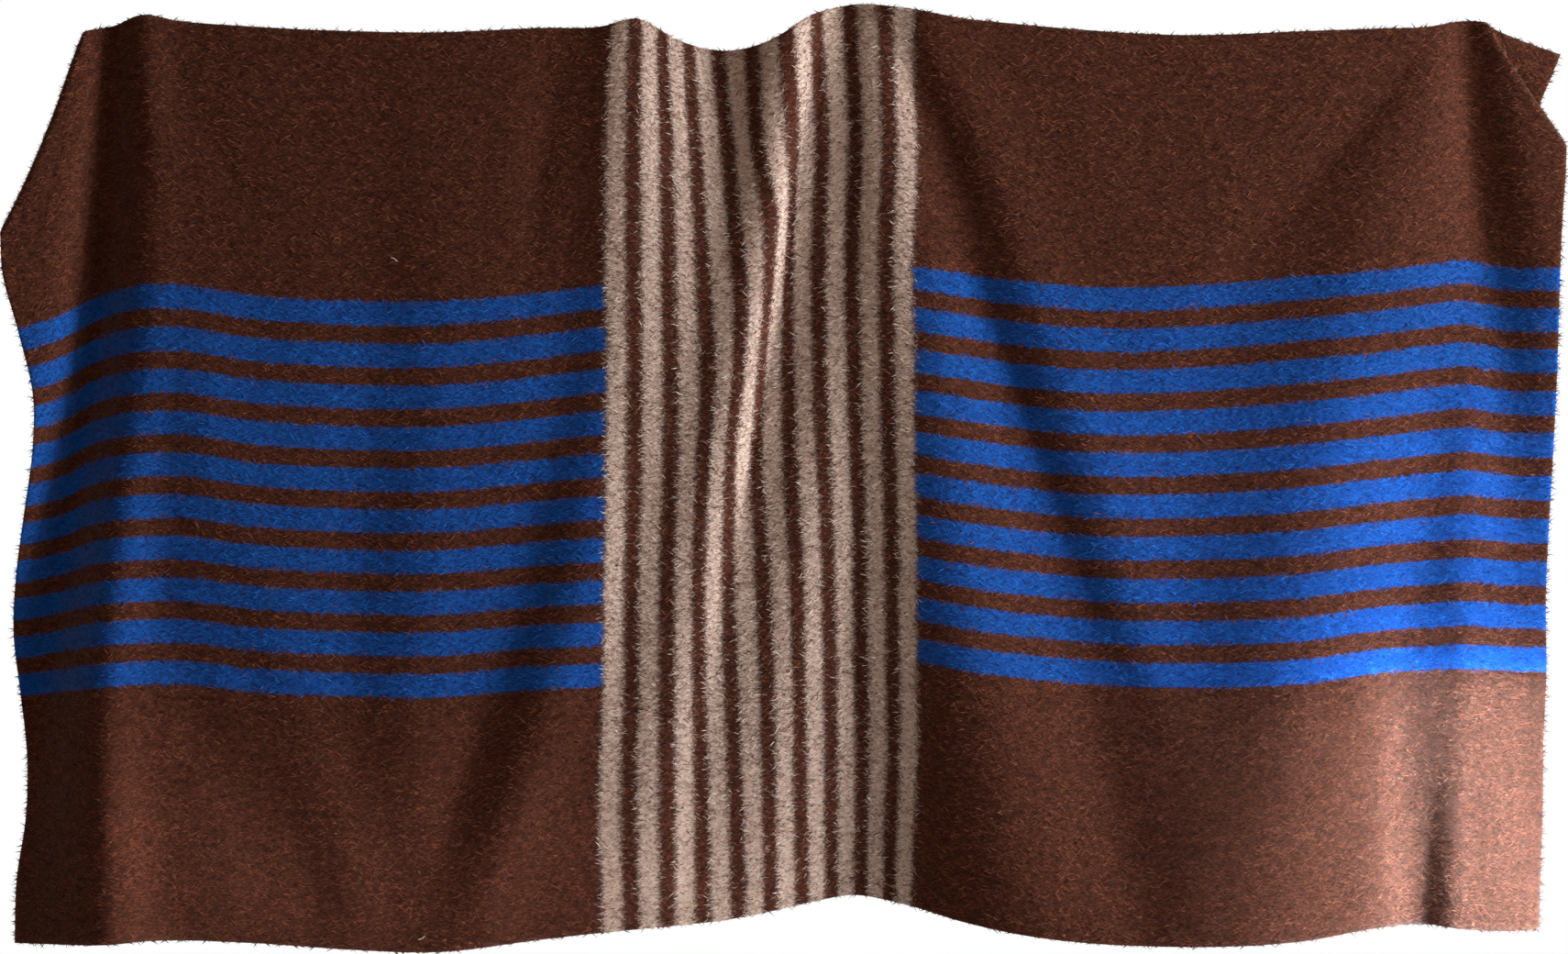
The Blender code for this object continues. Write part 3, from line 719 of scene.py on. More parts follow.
def striped_colour(tree, flat, tone, fray, cream_softness, blue_softness):
    """The blanket's pattern at a place on the flat cloth, in the shade that the tone gives.

    Each wool has its shades, from its shadowed fibres to its lightest ones. Fray moves the borders of
    the upright stripes, and a third of it those of the cross stripes.
    """
    colours = bpy.context.scene.wool_colours
    parts = add(tree, "ShaderNodeSeparateXYZ", {0: flat})
    along, down = parts.outputs[0], parts.outputs[1]
    # loose weaving: the borders wander by a millimetre or two over some 60 mm
    slow = add(tree, "ShaderNodeTexNoise",
               {"Vector": flat, "Scale": WANDERS_PER_METRE, "Detail": 2.0}).outputs[0]
    wander = add(tree, "ShaderNodeMath", {0: slow, 1: WANDER, 2: -WANDER / 2},
                 operation="MULTIPLY_ADD").outputs[0]
    frayed = add(tree, "ShaderNodeMath", {0: wander, 1: fray}, operation="ADD").outputs[0]
    less = add(tree, "ShaderNodeMath", {0: frayed, 1: CROSS_SHARE}, operation="MULTIPLY").outputs[0]
    from_band = add(tree, "ShaderNodeMath", {0: along, 1: PANEL_WIDTH}, operation="SUBTRACT").outputs[0]
    from_first = add(tree, "ShaderNodeMath", {0: down, 1: FIRST_STRIPE}, operation="SUBTRACT").outputs[0]
    cream = stripe_mask(tree, from_band, CREAM_STRIPE, CREAM_GAP, CREAM_STRIPES, cream_softness, frayed)
    blue = stripe_mask(tree, from_first, BLUE_STRIPE, BLUE_GAP, BLUE_STRIPES, blue_softness, less)
    centred = add(tree, "ShaderNodeMath", {0: from_band, 1: BAND_WIDTH / 2},
                  operation="SUBTRACT").outputs[0]
    away = add(tree, "ShaderNodeMath", {0: centred}, operation="ABSOLUTE").outputs[0]
    panel = add(tree, "ShaderNodeMapRange", {0: away, 1: BAND_WIDTH / 2 - blue_softness,
                                             2: BAND_WIDTH / 2 + blue_softness}).outputs[0]
    blue = add(tree, "ShaderNodeMath", {0: blue, 1: panel}, operation="MULTIPLY").outputs[0]
    wools = []
    for dark, middle, light in (
        (colours.brown_dark, colours.brown, colours.brown_light),
        (colours.blue_dark, colours.blue, colours.blue_light),
        (colours.cream_dark, colours.cream, colours.cream_light),
    ):
        ramp = add(tree, "ShaderNodeValToRGB", {0: tone})
        stops = ramp.color_ramp.elements
        stops[0].position = 0.0
        stops[0].color = (*dark, 1)
        stops[1].position = 1.0
        stops[1].color = (*light, 1)
        stops.new(0.5).color = (*middle, 1)
        wools.append(ramp.outputs[0])
    brown_wool, blue_wool, cream_wool = wools
    ground = add(tree, "ShaderNodeMix", {0: blue, 6: brown_wool, 7: blue_wool}, data_type="RGBA").outputs[2]
    # where the cream wool thins out over the brown, the mixture looks violet
    thin = add(tree, "ShaderNodeMapRange", {0: cream, 1: 0.15, 2: 1.0, 3: 1.0, 4: 0.0}).outputs[0]
    cream_wool = add(tree, "ShaderNodeMix", {0: thin, 6: cream_wool, 7: (*linear(VIOLET_MIXTURE), 1)},
                     data_type="RGBA").outputs[2]
    return add(tree, "ShaderNodeMix", {0: cream, 6: ground, 7: cream_wool}, data_type="RGBA").outputs[2]


def wool_shader(name, roughness):
    """A wool material without its colour: its tree, and its shader with what is the same all over set.

    Wool throws light back from the sides of its fibres: a soft sheen at a slant, and hardly any gloss.
    """
    material = bpy.data.materials.new(name)
    material.use_nodes = True
    tree = material.node_tree
    shader = tree.nodes["Principled BSDF"]
    shader.inputs["Roughness"].default_value = roughness
    shader.inputs["Specular IOR Level"].default_value = 0.08
    shader.inputs["Sheen Weight"].default_value = 0.45
    shader.inputs["Sheen Roughness"].default_value = 0.5
    shader.inputs["Sheen Tint"].default_value = (*linear("#FFE9DC"), 1)
    return material, tree, shader


def milled_ground():
    """Milled wool cloth, the ground under the nap. Milling hides the weave, so it shows only short,
    matted strokes along the weft, some 8 mm long and 2 mm wide. The ground is kept darker than the
    fibres over it: painted shade under the nap.
    """
    material, tree, shader = wool_shader("milled_wool_ground", 0.95)
    flat = add(tree, "ShaderNodeAttribute", attribute_name="flat").outputs["Vector"]
    laid = add(tree, "ShaderNodeMapping",
               {"Vector": flat, "Scale": (1 / STROKE_LENGTH, 1 / STROKE_WIDTH, 1.0)}).outputs[0]
    strokes = add(tree, "ShaderNodeTexNoise", {"Vector": laid, "Scale": 1.0, "Detail": 3.0,
                                               "Roughness": 0.6, "Distortion": 0.8}).outputs[0]
    # painted shade: the strokes' tone stops at 0.75, short of the wool's lightest shades, so the ground
    # stays darker than the nap
    tone = add(tree, "ShaderNodeMapRange", {0: strokes, 1: 0.3, 2: 0.7, 3: 0.0, 4: 0.75}).outputs[0]
    fray = add(tree, "ShaderNodeMath", {0: strokes, 1: STROKE_FRAY, 2: -STROKE_FRAY / 2},
               operation="MULTIPLY_ADD").outputs[0]
    colour = striped_colour(tree, flat, tone, fray, GROUND_CREAM_SOFTNESS, GROUND_BLUE_SOFTNESS)
    tree.links.new(colour, shader.inputs["Base Color"])
    bump = add(tree, "ShaderNodeBump", {"Strength": 0.6, "Distance": 0.0012, "Height": strokes})
    tree.links.new(bump.outputs[0], shader.inputs["Normal"])
    rough = add(tree, "ShaderNodeMapRange", {0: strokes, 1: 0.3, 2: 0.7, 3: 0.98, 4: 0.88}).outputs[0]
    tree.links.new(rough, shader.inputs["Roughness"])
    return material


def raised_fibres():
    """Raised wool, teased out of the cloth with wire brushes. Each fibre has the colour of the place that
    it grows from and its own tone, and clumps some 12 mm wide differ a little. Its colour is made darker
    at the root and lighter at the tip: painted shade among the fibres and painted light on their tips.
    """
    material, tree, shader = wool_shader("raised_wool_fibres", 0.85)
    flat = add(tree, "ShaderNodeAttribute", attribute_name="flat").outputs["Vector"]
    own = add(tree, "ShaderNodeAttribute", attribute_name="tone").outputs["Fac"]
    tip = add(tree, "ShaderNodeAttribute", attribute_name="tip").outputs["Fac"]
    clumps = add(tree, "ShaderNodeTexNoise",
                 {"Vector": flat, "Scale": CLUMPS_PER_METRE, "Detail": 2.0}).outputs[0]
    spread = add(tree, "ShaderNodeMath", {0: clumps, 1: CLUMP_CONTRAST, 2: -CLUMP_CONTRAST / 2},
                 operation="MULTIPLY_ADD").outputs[0]
    tone = add(tree, "ShaderNodeMath", {0: own, 1: spread}, operation="ADD").outputs[0]
    # some fibres have worked their way out of the stripes on either side: which ones, and how far each
    # one's colour shifts, comes from a second random value, made from the later digits of its tone
    mixed = add(tree, "ShaderNodeMath", {0: own, 1: 37.0}, operation="MULTIPLY").outputs[0]
    other = add(tree, "ShaderNodeMath", {0: mixed}, operation="FRACT").outputs[0]
    stray = add(tree, "ShaderNodeMath", {0: other, 1: STRAY_SHARE}, operation="LESS_THAN").outputs[0]
    shift = add(tree, "ShaderNodeMath", {0: other, 1: FIBRE_FRAY, 2: -FIBRE_FRAY / 2},
                operation="MULTIPLY_ADD").outputs[0]
    fray = add(tree, "ShaderNodeMath", {0: stray, 1: -STRAY_REACH, 2: shift},
               operation="MULTIPLY_ADD").outputs[0]
    colour = striped_colour(tree, flat, tone, fray, FIBRE_CREAM_SOFTNESS, FIBRE_BLUE_SOFTNESS)
    # painted shade and light: the colour falls to 0.62 of itself at the fibre's root and rises to 1.12 at
    # its tip
    fade = add(tree, "ShaderNodeMapRange", {0: tip, 3: 0.62, 4: 1.12}).outputs[0]
    shaded = add(tree, "ShaderNodeVectorMath", {0: colour, "Scale": fade}, operation="SCALE").outputs[0]
    tree.links.new(shaded, shader.inputs["Base Color"])
    rough = add(tree, "ShaderNodeMapRange", {0: own, 3: 0.95, 4: 0.75}).outputs[0]
    tree.links.new(rough, shader.inputs["Roughness"])
    return material


def white_lint():
    """White cotton lint, caught on the nap: a bright, matt thread."""
    material = bpy.data.materials.new("white_cotton_lint")
    material.use_nodes = True
    tree = material.node_tree
    shader = tree.nodes["Principled BSDF"]
    place = add(tree, "ShaderNodeTexCoord").outputs["Object"]
    fibres = add(tree, "ShaderNodeTexNoise", {"Vector": place, "Scale": 900.0}).outputs[0]
    shade = add(tree, "ShaderNodeMapRange", {0: fibres, 3: 0.75, 4: 0.95}).outputs[0]
    tree.links.new(shade, shader.inputs["Base Color"])
    shader.inputs["Roughness"].default_value = 0.9
    return material


NAP_INPUTS = (
    ("Fibres per square metre", "NodeSocketFloat"),
    ("Length", "NodeSocketFloat"),
    ("Width", "NodeSocketFloat"),
    ("Least lift", "NodeSocketFloat"),
    ("Most lift", "NodeSocketFloat"),
    ("Stray", "NodeSocketFloat"),
    ("Roll", "NodeSocketFloat"),
    ("Side", "NodeSocketFloat"),
    ("Rise", "NodeSocketFloat"),
    ("Seed", "NodeSocketInt"),
    ("Wool", "NodeSocketMaterial"),
)


def nap_tree():
    """The tree that raises the nap: flat three-cornered fibres, set on the cloth at random.

    Each one lies along the weft, to one side or the other, strays from it, and lifts its tip. A random
    node takes the limits of a number at its sockets 2 and 3, and those of a whole number at 4 and 5.
    """
    tree = bpy.data.node_groups.new("raise_nap", "GeometryNodeTree")
    tree.interface.new_socket("Cloth", in_out="INPUT", socket_type="NodeSocketGeometry")
    for name, kind in NAP_INPUTS:
        tree.interface.new_socket(name, in_out="INPUT", socket_type=kind)
    tree.interface.new_socket("Nap", in_out="OUTPUT", socket_type="NodeSocketGeometry")
    given = add(tree, "NodeGroupInput").outputs
    seed = given["Seed"]

    roots = add(tree, "GeometryNodeDistributePointsOnFaces",
                {"Mesh": given["Cloth"], "Density": given["Fibres per square metre"], "Seed": seed})
    outward = add(tree, "ShaderNodeVectorMath", {0: roots.outputs["Normal"], "Scale": given["Side"]},
                  operation="SCALE").outputs[0]
    rise = add(tree, "ShaderNodeVectorMath", {0: outward, "Scale": given["Rise"]},
               operation="SCALE").outputs[0]
    raised = add(tree, "GeometryNodeSetPosition",
                 {"Geometry": roots.outputs["Points"], "Offset": rise}).outputs[0]
    own = add(tree, "FunctionNodeRandomValue", {2: 0.0, 3: 1.0, 8: seed}, data_type="FLOAT").outputs[1]
    toned = add(tree, "GeometryNodeStoreNamedAttribute", {"Geometry": raised, "Name": "tone", "Value": own},
                data_type="FLOAT", domain="POINT").outputs[0]

    circle = add(tree, "GeometryNodeMeshCircle", {"Vertices": 3, "Radius": 1.0},
                 fill_type="NGON").outputs[0]
    index = add(tree, "GeometryNodeInputIndex").outputs[0]
    # marks each fibre's tip corner; the wool's colour uses it for painted shade at the root and painted
    # light at the tip
    first = add(tree, "FunctionNodeCompare", {2: index, 3: 0}, data_type="INT",
                operation="EQUAL").outputs[0]
    marked = add(tree, "GeometryNodeStoreNamedAttribute",
                 {"Geometry": circle, "Name": "tip", "Value": first},
                 data_type="FLOAT", domain="POINT").outputs[0]
    # the circle's three corners lie 1.5 radii from root to tip, and 1.732 radii from side to side
    long = add(tree, "ShaderNodeMath", {0: given["Length"], 1: 1 / 1.5}, operation="MULTIPLY").outputs[0]
    wide = add(tree, "ShaderNodeMath", {0: given["Width"], 1: 1 / 1.732}, operation="MULTIPLY").outputs[0]
    half = add(tree, "ShaderNodeMath", {0: long, 1: 0.5}, operation="MULTIPLY").outputs[0]
    size = add(tree, "ShaderNodeCombineXYZ", {0: long, 1: wide, 2: 1.0}).outputs[0]
    shift = add(tree, "ShaderNodeCombineXYZ", {0: half}).outputs[0]
    fibre = add(tree, "GeometryNodeTransform",
                {"Geometry": marked, "Translation": shift, "Scale": size}).outputs[0]

    weft = add(tree, "GeometryNodeInputNamedAttribute", {"Name": "weft"},
               data_type="FLOAT_VECTOR").outputs[0]
    along_weft = add(tree, "FunctionNodeAxesToRotation", {0: weft, 1: outward},
                     primary_axis="X", secondary_axis="Z").outputs[0]
    less = add(tree, "ShaderNodeMath", {0: given["Stray"], 1: -1.0}, operation="MULTIPLY").outputs[0]
    seeds = [add(tree, "ShaderNodeMath", {0: seed, 1: step}, operation="ADD").outputs[0]
             for step in (1, 2, 3, 4, 5)]
    stray = add(tree, "FunctionNodeRandomValue", {2: less, 3: given["Stray"], 8: seeds[0]},
                data_type="FLOAT").outputs[1]
    other_way = add(tree, "FunctionNodeRandomValue", {4: 0, 5: 1, 8: seeds[1]}, data_type="INT").outputs[2]
    turn = add(tree, "ShaderNodeMath", {0: other_way, 1: math.pi, 2: stray},
               operation="MULTIPLY_ADD").outputs[0]
    lift = add(tree, "FunctionNodeRandomValue",
               {2: given["Least lift"], 3: given["Most lift"], 8: seeds[2]}, data_type="FLOAT").outputs[1]
    up = add(tree, "ShaderNodeMath", {0: lift, 1: -1.0}, operation="MULTIPLY").outputs[0]
    low_roll = add(tree, "ShaderNodeMath", {0: given["Roll"], 1: -1.0}, operation="MULTIPLY").outputs[0]
    roll = add(tree, "FunctionNodeRandomValue", {2: low_roll, 3: given["Roll"], 8: seeds[3]},
               data_type="FLOAT").outputs[1]
    bent = add(tree, "ShaderNodeCombineXYZ", {0: roll, 1: up, 2: turn}).outputs[0]
    turned = add(tree, "FunctionNodeEulerToRotation", {0: bent}).outputs[0]
    rotation = add(tree, "FunctionNodeRotateRotation", {0: along_weft, 1: turned},
                   rotation_space="LOCAL").outputs[0]
    scale = add(tree, "FunctionNodeRandomValue", {2: SHORTEST_SHARE, 3: LONGEST_SHARE, 8: seeds[4]},
                data_type="FLOAT").outputs[1]

    placed = add(tree, "GeometryNodeInstanceOnPoints",
                 {"Points": toned, "Instance": fibre, "Rotation": rotation, "Scale": scale}).outputs[0]
    real = add(tree, "GeometryNodeRealizeInstances", {"Geometry": placed}).outputs[0]
    dyed = add(tree, "GeometryNodeSetMaterial", {"Geometry": real, "Material": given["Wool"]}).outputs[0]
    add(tree, "NodeGroupOutput", {"Nap": dyed})
    return tree


def raise_nap(sheet, tree, nap, sizes, wool):
    """Raises one layer of the nap on the cloth, and returns its mesh."""
    cloth = show(sheet, "cloth_for_" + nap.name)
    modifier = cloth.modifiers.new("nap", "NODES")
    modifier.node_group = tree
    values = {
        "Fibres per square metre": sizes.fibres * nap.density,
        "Length": sizes.length * nap.length,
        "Width": sizes.width * nap.width,
        "Least lift": sizes.least_lift * nap.lift,
        "Most lift": sizes.most_lift * nap.lift,
        "Stray": sizes.stray,
        "Roll": sizes.roll,
        "Side": float(nap.side),
        "Rise": THICKNESS * ROOT_SHARE,
        "Seed": nap.seed,
        "Wool": wool,
    }
    for socket in tree.interface.items_tree:
        if socket.name in values:
            modifier[socket.identifier] = values[socket.name]
    return plain_mesh(cloth)


def map_fibres(data):
    """Gives each fibre a small triangle of its own on the baking map, in even rows."""
    count = len(data.polygons)
    across = math.ceil(math.sqrt(count))
    cells = np.arange(count)
    places = np.stack([cells % across, cells // across], axis=1)[:, None, :] + np.array(CELL_CORNERS)
    layer = data.uv_layers.new(name="OFBake")
    layer.uv.foreach_set("vector", (places / across).astype(np.float32).ravel())


def map_cloth(data, sheet_faces):
    """Lays the cloth's front and back flat on the baking map, with the rim's faces between them."""
    flat = np.empty(len(data.vertices) * 3, np.float32)
    data.attributes["flat"].data.foreach_get("vector", flat)
    flat = flat.reshape(-1, 3)
    corner = np.empty(len(data.loops), np.int32)
    data.loops.foreach_get("vertex_index", corner)
    start = np.empty(len(data.polygons), np.int32)
    total = np.empty(len(data.polygons), np.int32)
    data.polygons.foreach_get("loop_start", start)
    data.polygons.foreach_get("loop_total", total)
    face = np.repeat(np.arange(len(start)), total)
    run = MAP_MARGIN + (1 - 2 * MAP_MARGIN) * flat[corner, 0] / WIDTH
    place = np.stack([run, MAP_SIDE * flat[corner, 1] / LENGTH], axis=1)
    place[:, 1] += np.where(face < sheet_faces, MAP_FRONT, MAP_BACK)
    rim = face >= 2 * sheet_faces
    rims = max(1, len(start) - 2 * sheet_faces)
    nth = face[rim] - 2 * sheet_faces
    step = (np.arange(len(corner)) - start[face])[rim]
    place[rim, 0] = (nth + np.where((step == 1) | (step == 2), 0.8, 0.2)) / rims
    place[rim, 1] = np.where(step < 2, *MAP_RIM)
    layer = data.uv_layers.new(name="OFBake")
    layer.uv.foreach_set("vector", place.astype(np.float32).ravel())


class ClothSizes(bpy.types.PropertyGroup):
    """The sizes of the cloth that can be changed."""

    thickness: FloatProperty(
        name="Thickness", description="How thick the milled cloth is, with the roots of its nap",
        default=THICKNESS, min=0.001, max=0.004, subtype="DISTANCE", unit="LENGTH")


class NapSizes(bpy.types.PropertyGroup):
    """The sizes of the raised fibres."""

    fibres: FloatProperty(
        name="Fibres", description="Fibres that each layer of the nap has on a square metre",
        default=50000.0, min=1000.0, max=54000.0)
    length: FloatProperty(
        name="Length", description="How long a fibre is, from root to tip",
        default=0.010, min=0.003, max=0.020, subtype="DISTANCE", unit="LENGTH")
    width: FloatProperty(
        name="Width", description="How wide a lock of fibres is at its root",
        default=0.0017, min=0.0002, max=0.004, subtype="DISTANCE", unit="LENGTH")
    least_lift: FloatProperty(
        name="Least lift", description="How far the flattest fibres lift from the cloth",
        default=math.radians(5), min=0.0, max=math.pi / 2, subtype="ANGLE", unit="ROTATION")
    most_lift: FloatProperty(
        name="Most lift", description="How far the steepest fibres lift from the cloth",
        default=math.radians(24), min=0.0, max=math.pi / 2, subtype="ANGLE", unit="ROTATION")
    stray: FloatProperty(
        name="Stray", description="How far a fibre strays from the direction of the weft",
        default=math.radians(55), min=0.0, max=math.pi, subtype="ANGLE", unit="ROTATION")
    roll: FloatProperty(
        name="Roll", description="How far a fibre turns about its own length",
        default=math.radians(30), min=0.0, max=math.pi, subtype="ANGLE", unit="ROTATION")


class WoolColours(bpy.types.PropertyGroup):
    """The three wools, each in the shade of its shadowed, common and lightest fibres."""

    brown_dark: FloatVectorProperty(
        name="Dark brown", description="The brown wool's shadowed fibres",
        default=linear("#30150C"), size=3, min=0, max=1, subtype="COLOR")
    brown: FloatVectorProperty(
        name="Brown", description="The brown wool of the ground",
        default=linear("#572B1E"), size=3, min=0, max=1, subtype="COLOR")
    brown_light: FloatVectorProperty(
        name="Light brown", description="The brown wool's lightest fibres",
        default=linear("#94583F"), size=3, min=0, max=1, subtype="COLOR")
    blue_dark: FloatVectorProperty(
        name="Dark blue", description="The blue wool's shadowed fibres",
        default=linear("#003A8C"), size=3, min=0, max=1, subtype="COLOR")
    blue: FloatVectorProperty(
        name="Blue", description="The blue wool of the cross stripes",
        default=linear("#005EC8"), size=3, min=0, max=1, subtype="COLOR")
    blue_light: FloatVectorProperty(
        name="Light blue", description="The blue wool's lightest fibres",
        default=linear("#1C7EE4"), size=3, min=0, max=1, subtype="COLOR")
    cream_dark: FloatVectorProperty(
        name="Dark cream", description="The cream wool's shadowed fibres",
        default=linear("#A08478"), size=3, min=0, max=1, subtype="COLOR")
    cream: FloatVectorProperty(
        name="Cream", description="The cream wool of the upright stripes",
        default=linear("#F2DCD2"), size=3, min=0, max=1, subtype="COLOR")
    cream_light: FloatVectorProperty(
        name="Light cream", description="The cream wool's lightest fibres",
        default=linear("#FFFAF4"), size=3, min=0, max=1, subtype="COLOR")


class StudioSizes(bpy.types.PropertyGroup):
    """The studio: its camera, its lamps and its floor."""

    distance: FloatProperty(
        name="Camera distance", description="How far the camera stands in front of the blanket",
        default=8.0, min=1.0, max=50.0, subtype="DISTANCE", unit="LENGTH")
    view_width: FloatProperty(
        name="View width", description="How wide the picture is at the blanket",
        default=2.394, min=0.5, max=10.0, subtype="DISTANCE", unit="LENGTH")
    room_light: FloatProperty(
        name="Room light", description="How bright the light from all sides is",
        default=0.036, min=0.0, max=5.0)
    key: FloatProperty(
        name="Key lamp", description="The power of the large soft lamp far to the right",
        default=600.0, min=0.0, max=2000.0, unit="POWER")
    high: FloatProperty(
        name="High lamp", description="The power of the soft lamp above on the right",
        default=26.0, min=0.0, max=1000.0, unit="POWER")
    top: FloatProperty(
        name="Top lamp", description="The power of the large soft lamp above the middle",
        default=8.0, min=0.0, max=1000.0, unit="POWER")
    left: FloatProperty(
        name="Left lamp", description="The power of the soft lamp on the left, which fills the shadows",
        default=5.0, min=0.0, max=1000.0, unit="POWER")
    behind: FloatProperty(
        name="Back lamp", description="The power of the large soft lamp behind the blanket",
        default=60.0, min=0.0, max=1000.0, unit="POWER")
    sweep: FloatProperty(
        name="Sweeping lamp", description="The power of the beam that sweeps over the cloth above its hem",
        default=0.65, min=0.0, max=100.0, unit="POWER")
    shoulder: FloatProperty(
        name="Shoulder lamp", description="The power of the beam that strikes the cloth's right shoulder",
        default=0.40, min=0.0, max=100.0, unit="POWER")
    low: FloatProperty(
        name="Low lamp", description="The power of the beam that strikes the lower right corner",
        default=2.2, min=0.0, max=100.0, unit="POWER")
    low_glow: FloatProperty(
        name="Low glow", description="The power of the wider light round the low lamp's beam",
        default=3.4, min=0.0, max=100.0, unit="POWER")
    floor_height: FloatProperty(
        name="Floor height", description="Where the floor lies",
        default=-1.75, min=-5.0, max=-1.45, subtype="DISTANCE", unit="LENGTH")


class BLANKET_OT_weave(bpy.types.Operator):
    """Weave the cloth and hang it in its folds"""

    bl_idname = "blanket.weave"
    bl_label = "Weave and Hang the Cloth"

    def execute(self, context):
        sheet = hanging_sheet("woven_cloth")
        sheet_faces = len(sheet.polygons)
        cloth = show(sheet, "sheet")
        solid = cloth.modifiers.new("thickness", "SOLIDIFY")
        solid.thickness = context.scene.cloth_sizes.thickness
        solid.offset = 0.0
        solid.use_even_offset = True
        data = plain_mesh(cloth)
        map_cloth(data, sheet_faces)
        data.materials.append(milled_ground())
        data.name = "woven_cloth"
        cloth = show(data, "woven_cloth")
        finish_piece(cloth)
        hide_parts(SOLID)
        return {"FINISHED"}


class BLANKET_OT_raise_nap(bpy.types.Operator):
    """Raise the nap on both sides of the cloth"""

    bl_idname = "blanket.raise_nap"
    bl_label = "Raise the Nap"

    def execute(self, context):
        sheet = hanging_sheet("napped_sheet")
        tree = nap_tree()
        wool = raised_fibres()
        for nap in NAPS:
            data = raise_nap(sheet.copy(), tree, nap, context.scene.nap_sizes, wool)
            if not data.polygons:
                raise RuntimeError(f"{nap.name} has no fibres")
            map_fibres(data)
            data.name = nap.name
            finish_piece(show(data, nap.name))
        return {"FINISHED"}


class BLANKET_OT_drop_lint(bpy.types.Operator):
    """Drop two bits of white lint on the nap"""

    bl_idname = "blanket.drop_lint"
    bl_label = "Drop the Lint"

    def execute(self, context):
        wool = white_lint()
        for lint in LINTS:
            curve = bpy.data.curves.new(lint.name, "CURVE")
            curve.dimensions = "3D"
            curve.bevel_depth = LINT_RADIUS
            curve.bevel_resolution = 2
            curve.use_fill_caps = True
            spline = curve.splines.new("POLY")
            spline.points.add(LINT_PIECES)
            front = float(depth(np.array([lint.across]), np.array([-lint.height]))[0]) - LINT_RISE
            for index, point in enumerate(spline.points):
                share = index / LINT_PIECES - 0.5
                run = share * LINT_LENGTH
                side = lint.bend * (0.25 - share**2) * LINT_LENGTH
                across = lint.across + run * math.cos(lint.turn) - side * math.sin(lint.turn)
                up = lint.height + run * math.sin(lint.turn) + side * math.cos(lint.turn)
                point.co = (across, front, up, 1.0)
            data = plain_mesh(show(curve, lint.name))
            data.materials.append(wool)
            data.shade_smooth()
            finish_piece(show(data, lint.name))
        return {"FINISHED"}


class BLANKET_OT_set_studio(bpy.types.Operator):
    """Set the floor, the lamps and the camera"""

    bl_idname = "blanket.set_studio"
    bl_label = "Set the Studio"

    def execute(self, context):
        scene = context.scene
        sizes = scene.studio_sizes
        set_camera(scene, sizes)
        set_room_light(scene, sizes)
        lay_floor(sizes)
        for lamp in LAMPS:
            set_lamp(lamp, getattr(sizes, lamp.name))
        return {"FINISHED"}


def set_camera(scene, sizes):
    """The camera looks straight at the blanket, at the height of the photograph's middle."""
    lens = bpy.data.cameras.new("camera")
    lens.sensor_width = 36.0
    lens.lens = lens.sensor_width * sizes.distance / sizes.view_width
    lens.dof.use_dof = False
    camera = bpy.data.objects.new("camera", lens)
    scene.collection.objects.link(camera)
    camera.location = (0.0, -sizes.distance, VIEW_HEIGHT)
    camera.rotation_euler = (math.pi / 2, 0.0, 0.0)
    scene.camera = camera


def set_room_light(scene, sizes):
    """A white room behind the blanket, whose own light on it is dimmer."""
    scene.view_settings.view_transform = "Standard"
    scene.view_settings.look = "None"
    world = bpy.data.worlds.new("white_room")
    world.use_nodes = True
    tree = world.node_tree
    tree.nodes.clear()
    seen = add(tree, "ShaderNodeBackground", {"Color": (1, 1, 1, 1), "Strength": 1.0}).outputs[0]
    light = add(tree, "ShaderNodeBackground", {"Color": (*linear("#FFD6B4"), 1),
                                               "Strength": sizes.room_light}).outputs[0]
    ray = add(tree, "ShaderNodeLightPath").outputs["Is Camera Ray"]
    both = add(tree, "ShaderNodeMixShader", {0: ray, 1: light, 2: seen}).outputs[0]
    add(tree, "ShaderNodeOutputWorld", {0: both})
    scene.world = world


def set_lamp(lamp, power):
    """An area lamp that shines at its target."""
    light = bpy.data.lights.new(lamp.name + "_lamp", "AREA")
    light.shape = "RECTANGLE"
    light.size = lamp.width
    light.size_y = lamp.height
    light.spread = math.radians(lamp.spread)
    light.energy = power
    light.color = linear(lamp.tint)
    holder = bpy.data.objects.new(light.name, light)
    bpy.context.scene.collection.objects.link(holder)
    holder.location = lamp.place
    way = Vector(lamp.target) - Vector(lamp.place)
    holder.rotation_euler = way.to_track_quat("-Z", "Y").to_euler()


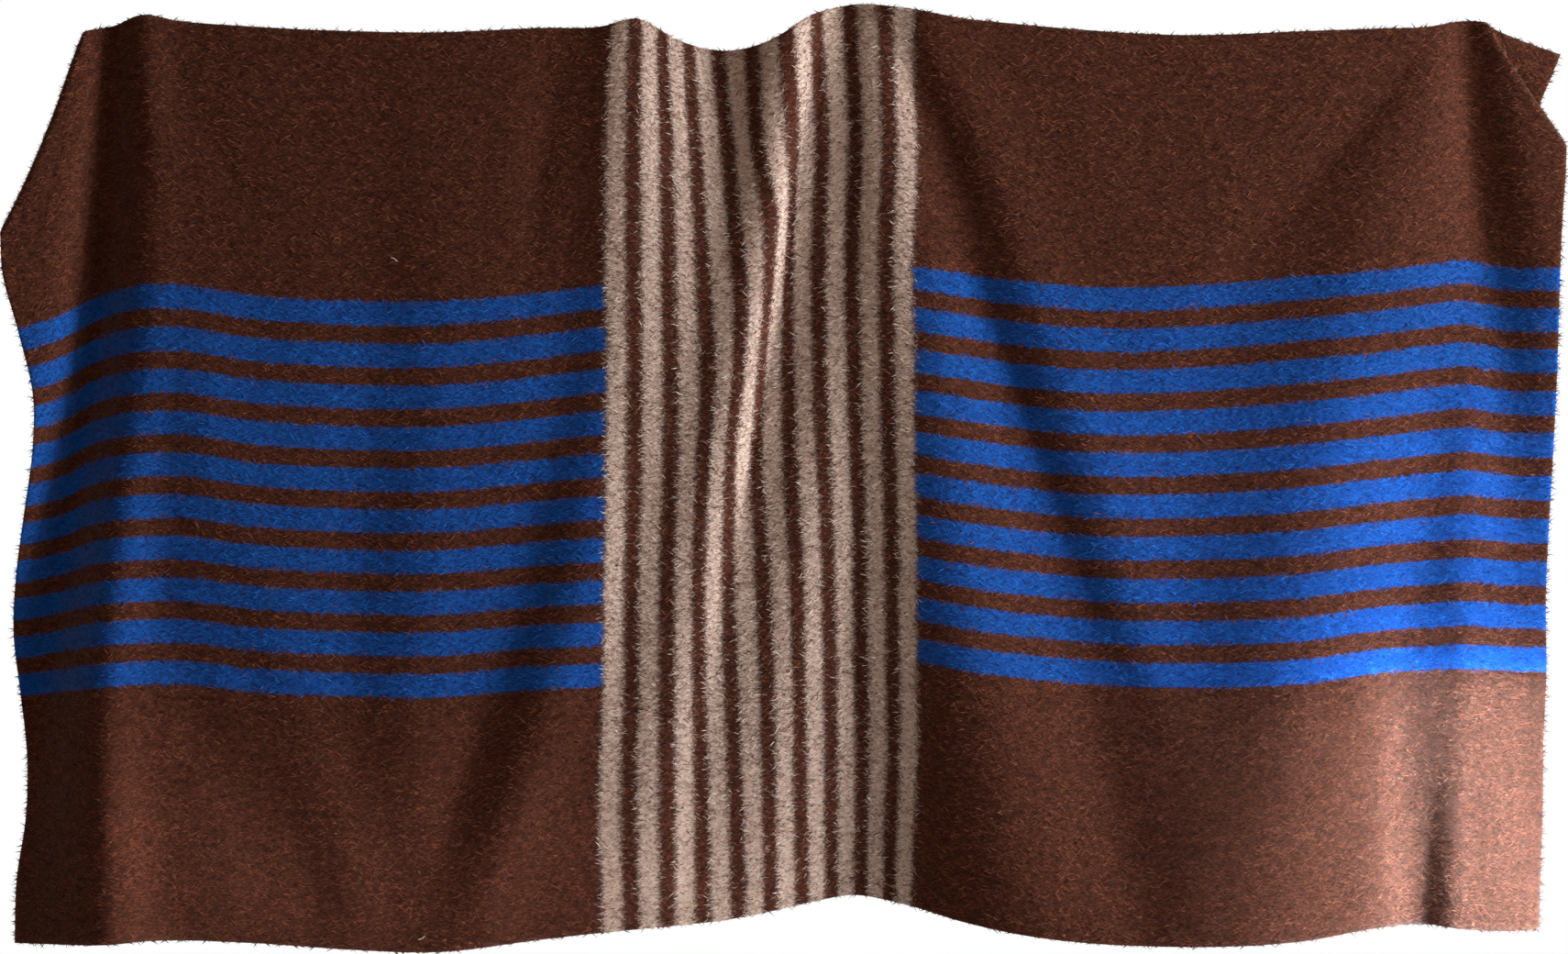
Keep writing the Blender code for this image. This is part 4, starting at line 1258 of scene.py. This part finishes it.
def lay_floor(sizes):
    """A pale, plain floor. It ends before it would show behind the hem.

    It is painted matt, with faint clouds of shade from the roller, and throws back a soft, even light.
    """
    mesh = bmesh.new()
    bmesh.ops.create_grid(mesh, x_segments=FLOOR_FACES, y_segments=FLOOR_FACES, size=FLOOR_HALF_SIDE)
    data = bpy.data.meshes.new("floor")
    mesh.to_mesh(data)
    mesh.free()
    for vert in data.vertices:
        vert.co.y -= FLOOR_AHEAD
        vert.co.z = sizes.floor_height
    material = bpy.data.materials.new("matt_floor_paint")
    material.use_nodes = True
    tree = material.node_tree
    shader = tree.nodes["Principled BSDF"]
    place = add(tree, "ShaderNodeTexCoord").outputs["Object"]
    cloud = add(tree, "ShaderNodeTexNoise", {"Vector": place, "Scale": 3.0, "Detail": 3.0}).outputs[0]
    shade = add(tree, "ShaderNodeMapRange", {0: cloud, 3: 0.72, 4: 0.80}).outputs[0]
    tree.links.new(shade, shader.inputs["Base Color"])
    shader.inputs["Roughness"].default_value = 0.8
    data.materials.append(material)
    show(data, "floor")


class BLANKET_PT_panel(bpy.types.Panel):
    """The blanket's sizes, colours and steps"""

    bl_idname = "BLANKET_PT_panel"
    bl_label = "Striped Wool Blanket"
    bl_space_type = "VIEW_3D"
    bl_region_type = "UI"
    bl_category = "Blanket"

    def draw(self, context):
        scene = context.scene
        for title, group, operator in (
            ("Cloth", scene.cloth_sizes, BLANKET_OT_weave),
            ("Nap", scene.nap_sizes, BLANKET_OT_raise_nap),
            ("Wool", scene.wool_colours, BLANKET_OT_drop_lint),
            ("Studio", scene.studio_sizes, BLANKET_OT_set_studio),
        ):
            box = self.layout.box()
            box.label(text=title)
            for name in group.__annotations__:
                box.prop(group, name)
            box.operator(operator.bl_idname)


GROUPS = {
    "cloth_sizes": ClothSizes,
    "nap_sizes": NapSizes,
    "wool_colours": WoolColours,
    "studio_sizes": StudioSizes,
}
CLASSES = (
    *GROUPS.values(),
    BLANKET_OT_weave,
    BLANKET_OT_raise_nap,
    BLANKET_OT_drop_lint,
    BLANKET_OT_set_studio,
    BLANKET_PT_panel,
)


def register():
    """Registers the classes, and the sizes and colours with the scene."""
    for each in CLASSES:
        bpy.utils.register_class(each)
    for name, group in GROUPS.items():
        setattr(bpy.types.Scene, name, PointerProperty(type=group))


def unregister():
    """Takes back what register has done."""
    for name in GROUPS:
        delattr(bpy.types.Scene, name)
    for each in reversed(CLASSES):
        bpy.utils.unregister_class(each)


def main():
    """Makes the blanket and the studio."""
    register()
    bpy.ops.blanket.weave()
    bpy.ops.blanket.raise_nap()
    bpy.ops.blanket.drop_lint()
    bpy.ops.blanket.set_studio()


if __name__ == "__main__":
    main()
